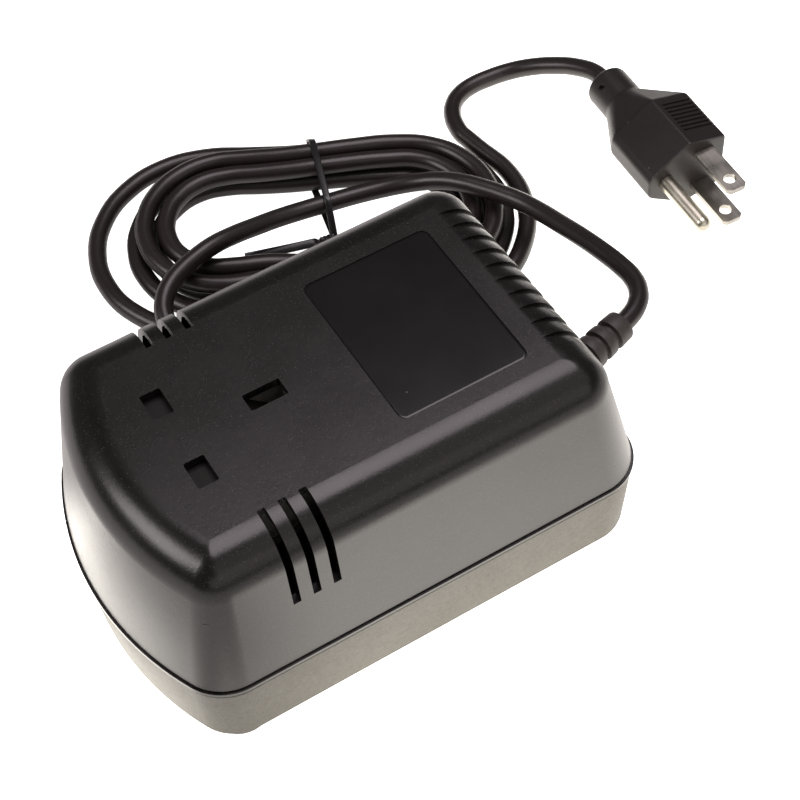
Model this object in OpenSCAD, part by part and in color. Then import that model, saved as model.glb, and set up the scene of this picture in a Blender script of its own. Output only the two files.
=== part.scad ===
// Travel voltage converter: a two-part moulded housing with a three-pin socket in its top,
// a transformer inside, and a tied mains cord that ends in a moulded plug.
// Millimetres. Z is up from the surface that it stands on, X runs from the bowed socket end
// to the cord end, and the origin is under the middle of the housing.

/* [Housing] */
// Length of the housing at the seam
body_l = 132; // [122:1:154]
// How far the cord end slopes in between the seam and the top edge
end_out = 4; // [0:0.5:5]
// Width of the housing at the seam
body_w = 85; // [84:1:105]
// Height from the floor to the top face
body_h = 66; // [66:0.5:80]
// Height of the seam between the shells
seam_z = 24; // [22:0.5:28]
// Radius of the bowed end in plan
bow_r = 80; // [65:1:140]
// Radius of the upright corners at the seam
corner_r = 13; // [12:0.5:18]
// Lean of the upper shell's walls, in degrees
upper_lean = 6.5; // [3:0.5:8]
// Lean of the lower shell's walls, in degrees
lower_lean = 4; // [1:0.5:5]
// Radius of the rounded top edge
edge_r = 8; // [4:0.5:8]
// Radius of the rounded bottom edge
base_edge_r = 2; // [0.5:0.25:3]
// Wall thickness of both shells
wall = 2.2; // [1.8:0.1:2.6]
// Thickness of the top, round the socket
top_wall = 2.4; // [2:0.1:3]
// Height of the proud band along the upper shell's lower rim
rim_h = 1.4; // [0.8:0.1:3]
// How far that band stands out
rim_out = 0.35; // [0.1:0.05:0.8]
// Height of the shadow gap under the band
gap_h = 0.6; // [0.3:0.1:1.2]
// Depth of the shadow gap
gap_in = 0.6; // [0.3:0.1:1]
// Height of the lower shell's tongue above the seam
tongue_h = 2.4; // [1.5:0.1:4]
// Thickness of the tongue
tongue_t = 1.2; // [0.8:0.1:1.6]
// Height of the moulded feet
foot_h = 1; // [0.5:0.1:2]
// Radius of the moulded feet before the corner trims them
foot_r = 9; // [7:0.5:12]
// Clearance between pieces that seat in each other
fit = 0.2; // [0.1:0.05:0.3]

/* [Vents, grips and plate] */
// Vent slots on each long side
vent_count = 3; // [1:1:5]
// Distance between vent slots
vent_pitch = 5.2; // [4:0.1:7]
// Width of a vent slot
vent_w = 2; // [1:0.1:3]
// Distance of the middle vent slot from the bowed end
vent_from_end = 40.6; // [40:0.1:46]
// How far the slots reach in from the side at the seam
vent_reach = 15.5; // [12:0.5:16]
// Height of the slots' lower ends
vent_low = 45; // [36:0.5:52]
// Grip grooves across the cord end's top edge
grip_count = 10; // [4:1:12]
// Distance between grip grooves
grip_pitch = 5.1; // [4:0.1:6]
// Width of a grip groove
grip_w = 1.6; // [0.8:0.1:2.6]
// Distance of the grooves' inner ends from the end wall at the seam
grip_in = 18.6; // [17:0.1:22]
// Size of the bare plate along the housing
plate_l = 34.2; // [20:0.1:40]
// Size of the bare plate across the housing
plate_w = 46.6; // [30:0.1:56]
// Corner radius of the plate
plate_r = 2; // [1:0.1:5]
// Distance of the plate's middle from the cord end
plate_from_end = 41.1; // [38:0.1:48]
// Depth of the plate's recess
plate_in = 0.4; // [0.2:0.1:0.8]
// Thickness of the plate
plate_t = 0.3; // [0.1:0.05:0.4]

/* [Socket] */
// Distance of the live and neutral apertures from the bowed end
pins_from_end = 29.1; // [28:0.1:31]
// Distance between the live and neutral apertures
pins_apart = 22.2; // [21:0.1:23]
// Distance from their line to the earth aperture
earth_off = 22.2; // [21:0.1:23]
// Live and neutral aperture along the housing
flat_slot_l = 5.2; // [4.4:0.1:6]
// Live and neutral aperture across the housing
flat_slot_w = 7.9; // [7:0.1:9]
// Earth aperture along the housing
earth_slot_l = 9.6; // [8.6:0.1:10]
// Earth aperture across the housing
earth_slot_w = 5.1; // [4.4:0.1:6]
// Thickness of the shutter plate
shutter_t = 2; // [1.4:0.1:2.6]
// How far the shutter slides to clear the apertures
shutter_travel = 7; // [6.4:0.1:7.2]
// Running gap above and below the shutter
slide_gap = 0.3; // [0.2:0.05:0.5]
// Depth of the carrier under the shutter
carrier_h = 21; // [18:0.5:24]
// Thickness of the contacts' strip
strip_t = 0.8; // [0.5:0.1:1]
// Thickness of the plug pins that the contacts grip
pin_t = 4; // [3.8:0.1:4.2]
// Wire of the shutter's spring
spring_wire = 0.5; // [0.3:0.05:0.7]
// Outside diameter of the shutter's spring
spring_d = 3.4; // [2.6:0.1:3.8]
// Turns of the shutter's spring
spring_turns = 7; // [4:1:9]

/* [Transformer] */
// Room between the core and the housing's sides at the seam
core_side_room = 9.5; // [9.5:0.1:12]
// Room between the core and the housing's cord end at the seam
core_end_room = 17; // [17:0.5:20]
// Gap between the core and the socket carrier
core_gap = 2; // [1.5:0.1:4]
// Room over the coil, with the thermal fuse in it
coil_top_room = 4.5; // [4:0.1:8]
// Room under the coil
coil_bottom_room = 3.3; // [1:0.1:6]
// Slack between the coil and the core's window
coil_gap = 0.5; // [0.2:0.1:1]
// Thickness of the bobbin's walls
bobbin_t = 1; // [0.6:0.1:1.2]
// Thickness of the winding tape
tape_t = 0.4; // [0.2:0.1:0.6]
// How far the bobbin's flanges stand over the tape
flange_over = 0.7; // [0.3:0.1:1]
// Thickness of the core clamps
clamp_t = 1.2; // [0.8:0.1:1.6]
// Width of a core clamp as a share of the yoke under it
clamp_share = 0.73; // [0.5:0.01:0.9]
// Radius of the thermal fuse
fuse_r = 1.5; // [1:0.1:1.8]
// Length of the thermal fuse
fuse_l = 11; // [8:0.5:14]
// Radius of the insulated wires inside
wire_r = 0.9; // [0.6:0.1:1]

/* [Screws] */
// Radius of the case screws' thread
case_screw_r = 1.5; // [1.2:0.1:1.7]
// Radius of the small screws' thread
small_screw_r = 1.2; // [1:0.1:1.3]
// Wall round a screw hole
screw_wall = 1.8; // [1.4:0.1:2]
// Distance of the case screws from the corners' axes
screw_out = 6; // [5.5:0.1:6.5]
// Length of the case screws above the seam
case_screw_bite = 14; // [8:0.5:20]
// Depth of the case screws' heads below the seam
case_screw_drop = 9; // [7:0.5:12]
// Height of the case screws' heads
case_head_h = 2.2; // [1.6:0.1:3]
// Length of the carrier screws
carrier_screw_l = 10.5; // [8:0.5:11]
// Length of the clamp screws
clamp_screw_l = 9; // [6:0.5:10]
// Height of the small screws' heads
small_head_h = 1.7; // [1.2:0.1:2]

/* [Cord] */
// Diameter of the cord
cord_d = 5.4; // [4.8:0.1:5.5]
// Length of the strain relief outside the housing
relief_l = 20; // [20:0.5:24]
// Radius of the strain relief at the housing
relief_r = 5.2; // [4.8:0.1:6]
// Radius of the strain relief at its tip
relief_tip_r = 4.3; // [3.4:0.1:4.4]
// How far the strain relief lies off the housing's middle, to the front
relief_off = 5.5; // [0:0.5:8]
// Turn of the strain relief towards the hank, in degrees
relief_turn = 16; // [4:1:16]
// Half the distance between the centres of the hank's end turns
hank_run = 27; // [24:0.5:30]
// The same for the inner turns' ends away from the plug
hank_left = 22; // [20:0.5:24]
// Radius of the hank's outermost top turn
hank_r = 28.8; // [28:0.1:30]
// Step from turn to turn, before the tie draws them in
hank_step = 6.3; // [6.3:0.05:6.6]
// Share by which the tie draws the runs in
hank_waist = 0.06; // [0:0.01:0.06]
// Loops in the top layer
loops_top = 2; // [2:1:2]
// Loops in the hank, up to its last part turn
loops_all = 5.34; // [5.3:0.01:5.36]
// Thickness of the wire tie
tie_t = 0.8; // [0.5:0.1:1]
// Width of the wire tie
tie_w = 2; // [1:0.1:3]

/* [Plug] */
// Distance between the blades
blade_apart = 12.7; // [12:0.1:13]
// Distance from the blades' plane to the earth pin
earth_pin_off = 11.9; // [11:0.1:12.4]
// Blade length outside the plug
blade_l = 17.5; // [15:0.5:20]
// Blade width
blade_w = 6.35; // [5:0.05:7]
// Blade thickness
blade_t = 1.5; // [1:0.1:2]
// Diameter of the hole near a blade's tip
blade_hole_d = 3.5; // [2:0.1:4]
// Diameter of the earth pin
earth_pin_d = 4.8; // [4.4:0.1:5]
// Length of the earth pin outside the plug, with its round tip
earth_pin_l = 20.5; // [18:0.5:24]
// Depth of the blades and the pin inside the plug
root_l = 9; // [6:0.5:12]
// Height of the plug as it lies
plug_h = 24; // [22:0.5:28]
// Length of the plug's gripped part
plug_grip_l = 20; // [18:0.5:24]
// Length of the shoulder between the gripped part and the neck
plug_shoulder_l = 12; // [8:0.5:16]
// Length of the plug's neck
plug_neck_l = 11; // [8:0.5:16]
// Radius of the plug's neck
plug_neck_r = 6.5; // [5:0.1:8]
// Grip grooves on the plug
plug_groove_count = 8; // [4:1:10]

/* [Hidden] */
$fn = 64;
eps = 0.02;

// Heights
upper_h = body_h - seam_z;
lower_h = seam_z - foot_h;
floor_z = foot_h + wall;
roof_z = body_h - top_wall;

// Plan: the corner axes and the bow's centre, shared by every level of the housing
corner_y = body_w / 2 - corner_r;
corner_xr = body_l / 2 - end_out - corner_r;
bow_x = bow_r - body_l / 2;
corner_xl = bow_x - sqrt(pow(bow_r - corner_r, 2) - corner_y * corner_y);
bow_a = atan2(corner_y, bow_x - corner_xl);

// The top edge's radius is limited by what the lean leaves of the corner
top_corner_r = corner_r - upper_h * tan(upper_lean);
edge_fit = min(edge_r, top_corner_r / cos(upper_lean));

// The lower shell's wall thickens inwards under its tongue
lip_h = 2.4;

// Case screws: on each corner's bisector, outside its axis
left_a = 90 + (90 - bow_a) / 2;
screw_places = [for (side = [-1, 1])
    each [[corner_xr + screw_out * cos(45), side * (corner_y + screw_out * sin(45))],
          [corner_xl + screw_out * cos(left_a), side * (corner_y + screw_out * sin(left_a))]]];
case_boss_r = case_screw_r + screw_wall;
case_head_r = case_screw_r * 1.8;
head_seat_z = seam_z - case_screw_drop;
case_screw_top = seam_z + case_screw_bite;

// Strain relief
neck_r = relief_r - 0.9;
flange_r = relief_r + 1.4;
flange_t = 1.8;
inner_end_x = body_l / 2 - wall;
relief_x = body_l / 2 + rim_out + 0.1;
relief_y = -relief_off;
relief_body_r = relief_r - 0.3;
relief_step = relief_body_r * sin(relief_turn) + 0.25;
relief_way = [cos(relief_turn), sin(relief_turn), 0];
relief_base = [relief_x + relief_step, relief_y, seam_z];
relief_tip = relief_base + relief_way * (relief_l - relief_step);

// Socket levels, from the top down
shutter_top = roof_z - slide_gap;
shutter_z = shutter_top - shutter_t;
carrier_top = shutter_z - slide_gap;
carrier_z = carrier_top - carrier_h;
pins_x = pins_from_end - body_l / 2;
earth_x = pins_x + earth_off;
pin_y = pins_apart / 2;
vent_x = vent_from_end - body_l / 2;
vent_in = body_w / 2 - vent_reach;
plate_x = body_l / 2 - plate_from_end;

// Shutter: a bar over both flat apertures, a stem and a ramp that the earth pin pushes
bar_l = flat_slot_l + 1.6;
bar_w = pins_apart + flat_slot_w + 2.4;
stem_w = 8;
ramp_drop = shutter_travel + 0.4;
ramp_end_x = earth_x - earth_slot_l / 2 + ramp_drop + 0.5;
ramp_start_x = ramp_end_x - ramp_drop;
lug_w = 4;
lug_h = 4;
lug_t = 2;
bar_x = pins_x - bar_l / 2;

// Carrier
carrier_x = bar_x - shutter_travel - 6.4;
carrier_w = bar_w + 5.5;
pocket_l = 11;
pocket_w = 9;
carrier_end_x = earth_x + pocket_l / 2 + 1.2;
pocket_z = carrier_z + 3;
ear_z = carrier_top - 12;
ear_h = 3;
ear_x = pins_x - 1;
ear_y = carrier_w / 2 + 3.5;
ear_r = small_screw_r + screw_wall;
spring_l = bar_x - (carrier_x + 2);
groove_z = carrier_top - lug_h - 0.2;
spring_z = carrier_top - lug_h / 2;

// Contacts
jaw_w = 6.4;
jaw_h = carrier_top - pocket_z - strip_t - 1.5;
tab_y = carrier_w / 2 + 4.5;
tab_w = 3;

// Transformer: laminations of six units by five, with windows one unit wide and three long
core_x = carrier_end_x + core_gap;
core_end_x = body_l / 2 - core_end_room;
lam = min((body_w / 2 - core_side_room) / 3, (core_end_x - core_x) / 5);
core_l = 5 * lam;
core_w = 6 * lam;
window_w = lam;
yoke = lam;
leg_w = 2 * lam;
core_start_x = core_end_x - core_l;
build = (window_w - 2 * fit - bobbin_t - tape_t - flange_over - coil_gap) / 2;
coil_over = fit + bobbin_t + 2 * build + tape_t + flange_over;
core_z = floor_z + coil_bottom_room + coil_over;
core_top = roof_z - coil_top_room - coil_over;
core_h = core_top - core_z;
core_mid_z = (core_z + core_top) / 2;
coil_x = core_start_x + yoke + fit / 2;
coil_l = 3 * window_w - fit;
tube_y = leg_w / 2 + fit + bobbin_t;
tube_z = core_h / 2 + fit + bobbin_t;
tape_top = core_mid_z + tube_z + 2 * build + tape_t;
clamp_w = yoke * clamp_share;
clamp_places = [core_start_x + yoke / 2 - clamp_w / 2, core_end_x - yoke / 2 - clamp_w / 2];
clamp_y = core_w / 2;
clamp_ear = clamp_t + 4;
clamp_screw_y = clamp_y + clamp_t + 1.9;
clamp_boss_r = small_screw_r + 1.5;
rib_t = 3;
rib_y = core_w / 2 - window_w / 2 - rib_t / 2;

// Wires inside: their height over the clamps and their places on the bobbin
wire_z = core_top + clamp_t + 2 * wire_r + 0.6;
supply_y = leg_w * 0.36;
output_y = leg_w * 0.64;

// Cord: hand-chosen places for the free stretches, round the hank that a formula lays
hank_at = [41, 91];
hank_a = -27;
layer_h = cord_d + 0.5;
hank_z = cord_d / 2;
tie_u = 6;
tie_lift = tie_t + 0.3;
waist_w = 16;
loop_start = 0.07;
ring_per_loop = 24;

// Plug, lying on its side, turned a little from Y, with its blades one above the other
plug_x = 138.7;
plug_face_y = 42.7;
plug_z = plug_h / 2;
plug_turn = -3;
plug_back = [-sin(plug_turn), cos(plug_turn), 0];
blade_x = plug_x + 5.7;
earth_pin_x = blade_x - earth_pin_off;
earth_root_r = earth_pin_d * 0.38;
plug_shoulder_y = plug_face_y + plug_grip_l;
plug_neck_y = plug_shoulder_y + plug_shoulder_l;
plug_end_y = plug_neck_y + plug_neck_l;
plug_end = [plug_x, plug_face_y, plug_z] + plug_back * (plug_end_y - plug_face_y);

// One point of a hank's oval in its own frame: loop share s from the tip at the cord end,
// anticlockwise, with end turns of radius r
function smooth(x) = let (c = min(max(x, 0), 1)) c * c * (3 - 2 * c);
function left_run(r) = hank_left + (hank_run - hank_left) * smooth((r - hank_r + 0.8) / 5);
function quarter_run(x, r, run) =
    let (arc = r * PI / 2, way = x * (arc + run))
    way < arc
        ? [run + r * cos(way / r * 180 / PI), r * sin(way / r * 180 / PI)]
        : [run - (way - arc), r];
function oval(s, r) =
    let (q = (s - floor(s)) * 4)
    q < 1 ? quarter_run(q, r, hank_run)
    : q < 2 ? let (p = quarter_run(2 - q, r, left_run(r))) [-p.x, p.y]
    : q < 3 ? let (p = quarter_run(q - 2, r, left_run(r))) [-p.x, -p.y]
    : let (p = quarter_run(4 - q, r, hank_run)) [p.x, -p.y];
function drawn_in(u) = exp(-pow(u / waist_w, 2));

// The hank's route after t loops: inwards on top, down along the near run, outwards below
function hank_radius(t) =
    t < loops_top ? hank_r - hank_step * t : hank_r - hank_step * (2 * loops_top - t);
function hank_point(t) =
    let (
        p = oval(t + 0.75, hank_radius(t)),
        v = p.y * (1 - hank_waist * drawn_in(p.x)),
        fall = smooth((t - loops_top + 0.09) / 0.18),
        lift = p.y > 0 ? tie_lift * drawn_in(p.x - tie_u) : 0
    )
    [hank_at.x + p.x * cos(hank_a) - v * sin(hank_a),
     hank_at.y + p.x * sin(hank_a) + v * cos(hank_a),
     hank_z + layer_h * (1 - fall) + lift];

function unit(v) = v / norm(v);
hank_rings = ceil((loops_all - loop_start) * ring_per_loop);
hank_turns = [for (i = [0:hank_rings])
    hank_point(loop_start + (loops_all - loop_start) * i / hank_rings)];
hank_in = unit(hank_turns[1] - hank_turns[0]);
hank_out = unit(hank_turns[hank_rings] - hank_turns[hank_rings - 1]);
hank_start = hank_turns[0] - hank_in * cord_d;
hank_end = hank_turns[hank_rings] + hank_out * cord_d;
hank_route = concat([hank_start], hank_turns, [hank_end]);

lead_route = concat(
    [relief_tip, relief_tip + relief_way * cord_d * 0.5],
    [[92.9, 2.7, 24], [96.3, 6.6, 23.8], [97.9, 11.4, 23.4], [98, 17, 22.8], [97.4, 24.6, 21.7],
     [96.4, 33.4, 20.1], [95.2, 41.6, 18.4], [93.9, 49.2, 17], [92, 56.1, 16], [89.2, 61.9, 15.6], [86, 67.4, 15.2],
     [82.6, 72.7, 14.6], [78.9, 77.8, 13.2], [74.6, 82.3, 11.2], [69.2, 86, 9.6], [62.8, 88.9, 8.6],
     [55.9, 91, 8.2], [48.6, 92.5, 8.2], [41.2, 93.4, 8.8], [33.8, 93.4, 10.2], [26.4, 92.6, 12],
     [19, 91.6, 13.8], [12, 90.4, 15], [6, 88.9, 15.2], [0.6, 87, 15.2], [-4.4, 84.4, 14.9],
     [-8.2, 81, 14.2], [-10.6, 76.4, 13.4], [-11, 71.4, 12.4], [-9.4, 66.6, 11.4], [-6, 62.8, 10.5],
     [-1.2, 60.2, 9.8], [4.6, 59.4, 9.4], [11.2, 60.9, 9.1], [18.2, 63.2, 9.1], [25.6, 64.4, 9]],
    [hank_start - hank_in * cord_d, hank_start]);
tail_route = concat(
    [hank_end, hank_end + hank_out * cord_d * 0.4],
    [[99.2, 102.6, 2.7], [100.4, 106.8, 2.7], [103, 110.8, 2.7], [107.2, 113.7, 2.7], [112.2, 114.9, 2.8],
     [117.8, 114.5, 3.2], [124, 112.7, 4.2], [129.8, 109, 6], [134.9, 103.6, 8.2], [138.9, 97.2, 10.4]],
    [plug_end + plug_back * cord_d * 0.8, plug_end]);

// Turns of the shutter's spring along X, with a closed straight end at each seat
spring_r = (spring_d - spring_wire) / 2;
spring_rings = spring_turns * 8;
spring_x = carrier_x + 2;
spring_run = spring_l - 2 * spring_wire;
function spring_point(i) =
    [spring_x + spring_wire + spring_run * i / spring_rings,
     spring_r * cos(45 * i), spring_z + spring_r * sin(45 * i)];
spring_route = [for (i = [0:spring_rings]) spring_point(i)];

// Least distance between points of one route that lie more than a given way apart along it
function least_gap(route, apart, d) =
    min([for (i = [0:len(route) - 1 - apart]) for (j = [i + apart:len(route) - 1])
        norm(route[i] - route[j])]) - d;
echo(hank_least_gap = least_gap(hank_route, 8, cord_d));
echo(spring_least_gap = least_gap(spring_route, 6, spring_wire));

// A tube swept along a route; ref is a direction that the route never follows
module tube(route, r, sides, ref = [0, 0, 1]) {
    last = len(route) - 1;
    ring = [for (i = [0:last])
        let (
            along = unit(route[min(i + 1, last)] - route[max(i - 1, 0)]),
            side = unit(cross(along, ref)),
            up = cross(side, along)
        )
        for (k = [0:sides - 1])
            route[i] + r * (side * sin(360 * k / sides) - up * cos(360 * k / sides))];
    skin = [for (i = [0:last - 1]) for (k = [0:sides - 1])
        let (a = i * sides + k, b = i * sides + (k + 1) % sides)
        each [[a, b, b + sides], [a, b + sides, a + sides]]];
    caps = [for (k = [1:sides - 2])
        each [[0, k + 1, k], [last * sides, last * sides + k, last * sides + k + 1]]];
    polyhedron(ring, concat(skin, caps), convexity = 10);
}

// Upright section of a wall: r out from its axis at the foot, leaning in, with a rounded top
module section(r, h, lean, edge) {
    tip_z = h - edge + edge * sin(lean);
    tip_r = r - tip_z * tan(lean);
    mid_r = tip_r - edge * cos(lean);
    polygon([[0, 0], [r, 0], [tip_r, tip_z], [mid_r, h], [0, h]]);
    if (edge > 0)
        translate([mid_r, h - edge])
            intersection() {
                circle(edge, $fn = 32);
                square(edge);
            }
}

// The housing's plan raised to h: straight sides and one straight end, corners, a bowed end;
// out shifts the straight end, which slopes where that is less than at the seam
module bowed(h, inset, lean, edge, out = end_out) {
    hull() {
        for (x = [corner_xl, corner_xr + out], side = [-1, 1])
            translate([x, side * corner_y, 0])
                rotate_extrude($fn = 40)
                    section(corner_r - inset, h, lean, edge);
        if (out < end_out)
            for (side = [-1, 1])
                translate([corner_xr + end_out, side * corner_y, 0])
                    cylinder(r = corner_r - inset, h = rim_h, $fn = 40);
        translate([bow_x, 0, 0])
            rotate([0, 0, 180 - bow_a])
                rotate_extrude(angle = 2 * bow_a, $fn = 120)
                    section(bow_r - inset, h, lean, edge);
    }
}

module rounded_plate(l, w, h, r) {
    linear_extrude(h)
        hull()
            for (x = [-1, 1], y = [-1, 1])
                translate([x * (l / 2 - r), y * (w / 2 - r)])
                    circle(r, $fn = 32);
}

// A screw with its head's underside at z = 0, pointing up
module screw(r, l, head_r, head) {
    cylinder(r = r, h = l);
    translate([0, 0, -head])
        cylinder(r = head_r, h = head);
}

module along_x(x, r, l) {
    translate([x, relief_y, seam_z])
        rotate([0, 90, 0])
            cylinder(r = r, h = l);
}

// Room that both shells leave for the strain relief: its neck and its inner flange
module relief_room() {
    along_x(inner_end_x - 4, neck_r + fit / 2, wall + 8);
    along_x(inner_end_x - flange_t - 6, flange_r + fit, flange_t + 6 - fit / 2);
}

module vents() {
    for (m = [0, 1], i = [0:vent_count - 1])
        mirror([0, m, 0])
            translate([vent_x + (i - (vent_count - 1) / 2) * vent_pitch - vent_w / 2, vent_in, vent_low])
                cube([vent_w, body_w / 2, body_h]);
}

module grips() {
    groove_r = 1.5 * edge_fit;
    for (i = [0:grip_count - 1])
        translate([body_l / 2 - grip_in, (i - (grip_count - 1) / 2) * grip_pitch + grip_w / 2,
                   body_h - groove_r])
            rotate([90, 0, 0])
                difference() {
                    cube([groove_r + 4, groove_r + 4, grip_w]);
                    translate([0, 0, -eps])
                        cylinder(r = groove_r, h = grip_w + 2 * eps);
                }
}

module apertures() {
    for (side = [-1, 1])
        translate([pins_x - flat_slot_l / 2, side * pin_y - flat_slot_w / 2, roof_z - 1])
            cube([flat_slot_l, flat_slot_w, top_wall + 2]);
    translate([earth_x - earth_slot_l / 2, -earth_slot_w / 2, roof_z - 1])
        cube([earth_slot_l, earth_slot_w, top_wall + 2]);
}

// Guides on the roof, at both ends of the shutter's bar
module shutter_guides() {
    for (side = [-1, 1])
        translate([bar_x - shutter_travel, side * (bar_w / 2 + 1.1) - 0.7, carrier_top + 0.1])
            cube([bar_l + shutter_travel, 1.4, roof_z - carrier_top + 0.5]);
}

module upper_shell() {
    color("#2b2929")
        difference() {
            union() {
                difference() {
                    union() {
                        translate([0, 0, seam_z])
                            bowed(upper_h, 0, upper_lean, edge_fit, 0);
                        translate([0, 0, seam_z])
                            bowed(rim_h, -rim_out, 0, 0);
                    }
                    translate([0, 0, seam_z - eps])
                        bowed(upper_h - top_wall + eps, wall, upper_lean, max(edge_fit - wall, 0.5), 0);
                }
                intersection() {
                    for (p = screw_places)
                        translate([p.x, p.y, seam_z])
                            cylinder(r = case_boss_r, h = upper_h);
                    translate([0, 0, seam_z])
                        bowed(upper_h - 1, 0.8, upper_lean, max(edge_fit - 1, 0.5), 0);
                }
                for (side = [-1, 1])
                    translate([ear_x, side * ear_y, ear_z + ear_h])
                        cylinder(r = ear_r, h = roof_z - ear_z - ear_h + 0.5);
                shutter_guides();
            }
            for (p = screw_places)
                translate([p.x, p.y, seam_z - eps])
                    cylinder(r = case_screw_r + fit / 4, h = case_screw_top - seam_z + 2);
            for (side = [-1, 1])
                translate([ear_x, side * ear_y, ear_z])
                    cylinder(r = small_screw_r + fit / 4, h = carrier_screw_l + 0.5);
            apertures();
            vents();
            grips();
            relief_room();
            translate([plate_x, 0, body_h - plate_in])
                rounded_plate(plate_l + fit, plate_w + fit, 1, plate_r);
        }
}

module lower_shell() {
    lip_in = wall + fit + tongue_t + tongue_h * tan(upper_lean);
    color("#3a3936")
        difference() {
            union() {
                difference() {
                    union() {
                        translate([0, 0, seam_z - gap_h])
                            mirror([0, 0, 1])
                                bowed(lower_h - gap_h, 0, lower_lean, base_edge_r);
                        translate([0, 0, seam_z - lip_h])
                            bowed(lip_h, gap_in, 0, 0);
                        translate([0, 0, seam_z - eps])
                            bowed(tongue_h + eps, wall + fit, upper_lean, 0);
                    }
                    translate([0, 0, seam_z - lip_h])
                        mirror([0, 0, 1])
                            bowed(seam_z - lip_h - floor_z, wall, lower_lean, 0.5);
                    translate([0, 0, seam_z - lip_h - eps])
                        bowed(tongue_h + lip_h + 1, lip_in, 0, 0);
                }
                for (p = screw_places)
                    translate([p.x, p.y, floor_z - 1])
                        cylinder(r = case_head_r + fit + screw_wall, h = seam_z - floor_z + 1);
                intersection() {
                    for (p = screw_places)
                        translate([p.x, p.y, 0])
                            cylinder(r = foot_r, h = foot_h + 1);
                    bowed(foot_h + 1, 0.8 + lower_h * tan(lower_lean), 0, 0);
                }
                for (side = [-1, 1])
                    translate([core_start_x + 2, side * rib_y - rib_t / 2, floor_z - 0.5])
                        cube([core_l - 4, rib_t, core_z - floor_z + 0.5]);
                for (x = clamp_places, side = [-1, 1])
                    translate([x + clamp_w / 2, side * clamp_screw_y, floor_z - 0.5])
                        cylinder(r = clamp_boss_r, h = core_z - floor_z + 0.5);
            }
            for (p = screw_places) {
                translate([p.x, p.y, -eps])
                    cylinder(r = case_head_r + fit, h = head_seat_z + eps);
                translate([p.x, p.y, 0])
                    cylinder(r = case_screw_r + fit, h = seam_z + 1);
            }
            for (x = clamp_places, side = [-1, 1])
                translate([x + clamp_w / 2, side * clamp_screw_y, core_z + clamp_t - clamp_screw_l - 0.5])
                    cylinder(r = small_screw_r + fit / 4, h = clamp_screw_l + 1);
            relief_room();
        }
}

module rating_plate() {
    color("#1b1a1a")
        translate([plate_x, 0, body_h - plate_in])
            rounded_plate(plate_l, plate_w, plate_t, plate_r);
}

module case_screws() {
    color("#b9b9b4")
        for (p = screw_places)
            translate([p.x, p.y, head_seat_z])
                screw(case_screw_r, case_screw_top - head_seat_z, case_head_r, case_head_h);
}

module socket_carrier() {
    color("#d8d4c6")
        difference() {
            union() {
                translate([carrier_x, -carrier_w / 2, carrier_z])
                    cube([carrier_end_x - carrier_x, carrier_w, carrier_h]);
                for (side = [-1, 1]) {
                    translate([ear_x, side * ear_y, ear_z])
                        cylinder(r = ear_r, h = ear_h);
                    translate([ear_x - ear_r, side * ear_y - (side > 0 ? 4 : 0), ear_z])
                        cube([2 * ear_r, 4, ear_h]);
                }
            }
            for (side = [-1, 1]) {
                translate([pins_x - pocket_l / 2, side * pin_y - pocket_w / 2, pocket_z])
                    cube([pocket_l, pocket_w, carrier_h]);
                translate([pins_x - tab_w / 2 - fit, side > 0 ? pin_y : -carrier_w / 2 - 1, pocket_z])
                    cube([tab_w + 2 * fit, carrier_w / 2 + 1 - pin_y, strip_t + fit]);
                translate([ear_x, side * ear_y, ear_z - 1])
                    cylinder(r = small_screw_r + fit, h = ear_h + 2);
            }
            translate([earth_x - pocket_l / 2, -pocket_w / 2, pocket_z])
                cube([pocket_l, pocket_w, carrier_h]);
            translate([ramp_start_x - shutter_travel - 3, -pocket_w / 2, carrier_top - ramp_drop - 1.2])
                cube([ramp_end_x - ramp_start_x + shutter_travel + 3, pocket_w, ramp_drop + 2]);
            translate([carrier_x + 2, -lug_w / 2 - 0.3, groove_z])
                cube([bar_x - carrier_x - 2 + lug_t + 1, lug_w + 0.6, lug_h + 1]);
        }
}

module carrier_screws() {
    color("#b9b9b4")
        for (side = [-1, 1])
            translate([ear_x, side * ear_y, ear_z])
                screw(small_screw_r, carrier_screw_l, small_screw_r * 1.9, small_head_h);
}

module socket_shutter() {
    color("#1d1c1c") {
        translate([bar_x, -bar_w / 2, shutter_z])
            cube([bar_l, bar_w, shutter_t]);
        translate([bar_x + bar_l - eps, -stem_w / 2, shutter_z])
            cube([ramp_start_x - bar_x - bar_l + 2 * eps, stem_w, shutter_t]);
        translate([0, stem_w / 2, 0])
            rotate([90, 0, 0])
                linear_extrude(stem_w)
                    polygon([[ramp_start_x - 3, shutter_top], [ramp_start_x, shutter_top],
                             [ramp_end_x, shutter_top - ramp_drop],
                             [ramp_end_x - 2.2, shutter_top - ramp_drop],
                             [ramp_start_x - 3, shutter_z]]);
        translate([bar_x, -lug_w / 2, shutter_z - lug_h])
            cube([lug_t, lug_w, lug_h + 1]);
    }
}

module shutter_spring() {
    color("#a8a8a6")
        tube(concat([spring_point(0) - [0, 0, spring_wire]], spring_route,
                    [spring_point(spring_rings) + [0, 0, spring_wire]]),
             spring_wire / 2, 6, [1, 0, 0]);
}

// A contact: a floor strip with a pair of upright jaws across x, and a tab for its lead
module flat_contact(side) {
    translate([pins_x, side * pin_y, pocket_z]) {
        translate([-pin_t / 2 - strip_t, -jaw_w / 2, 0])
            cube([pin_t + 2 * strip_t, jaw_w, strip_t]);
        for (x = [-pin_t / 2 - strip_t, pin_t / 2])
            translate([x, -jaw_w / 2, 0])
                cube([strip_t, jaw_w, jaw_h]);
    }
    translate([pins_x - tab_w / 2, side > 0 ? pin_y : -tab_y, pocket_z])
        cube([tab_w, tab_y - pin_y, strip_t]);
}

module live_contact() {
    color("#c8a24a") flat_contact(-1);
}

module neutral_contact() {
    color("#c8a24a") flat_contact(1);
}

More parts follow.
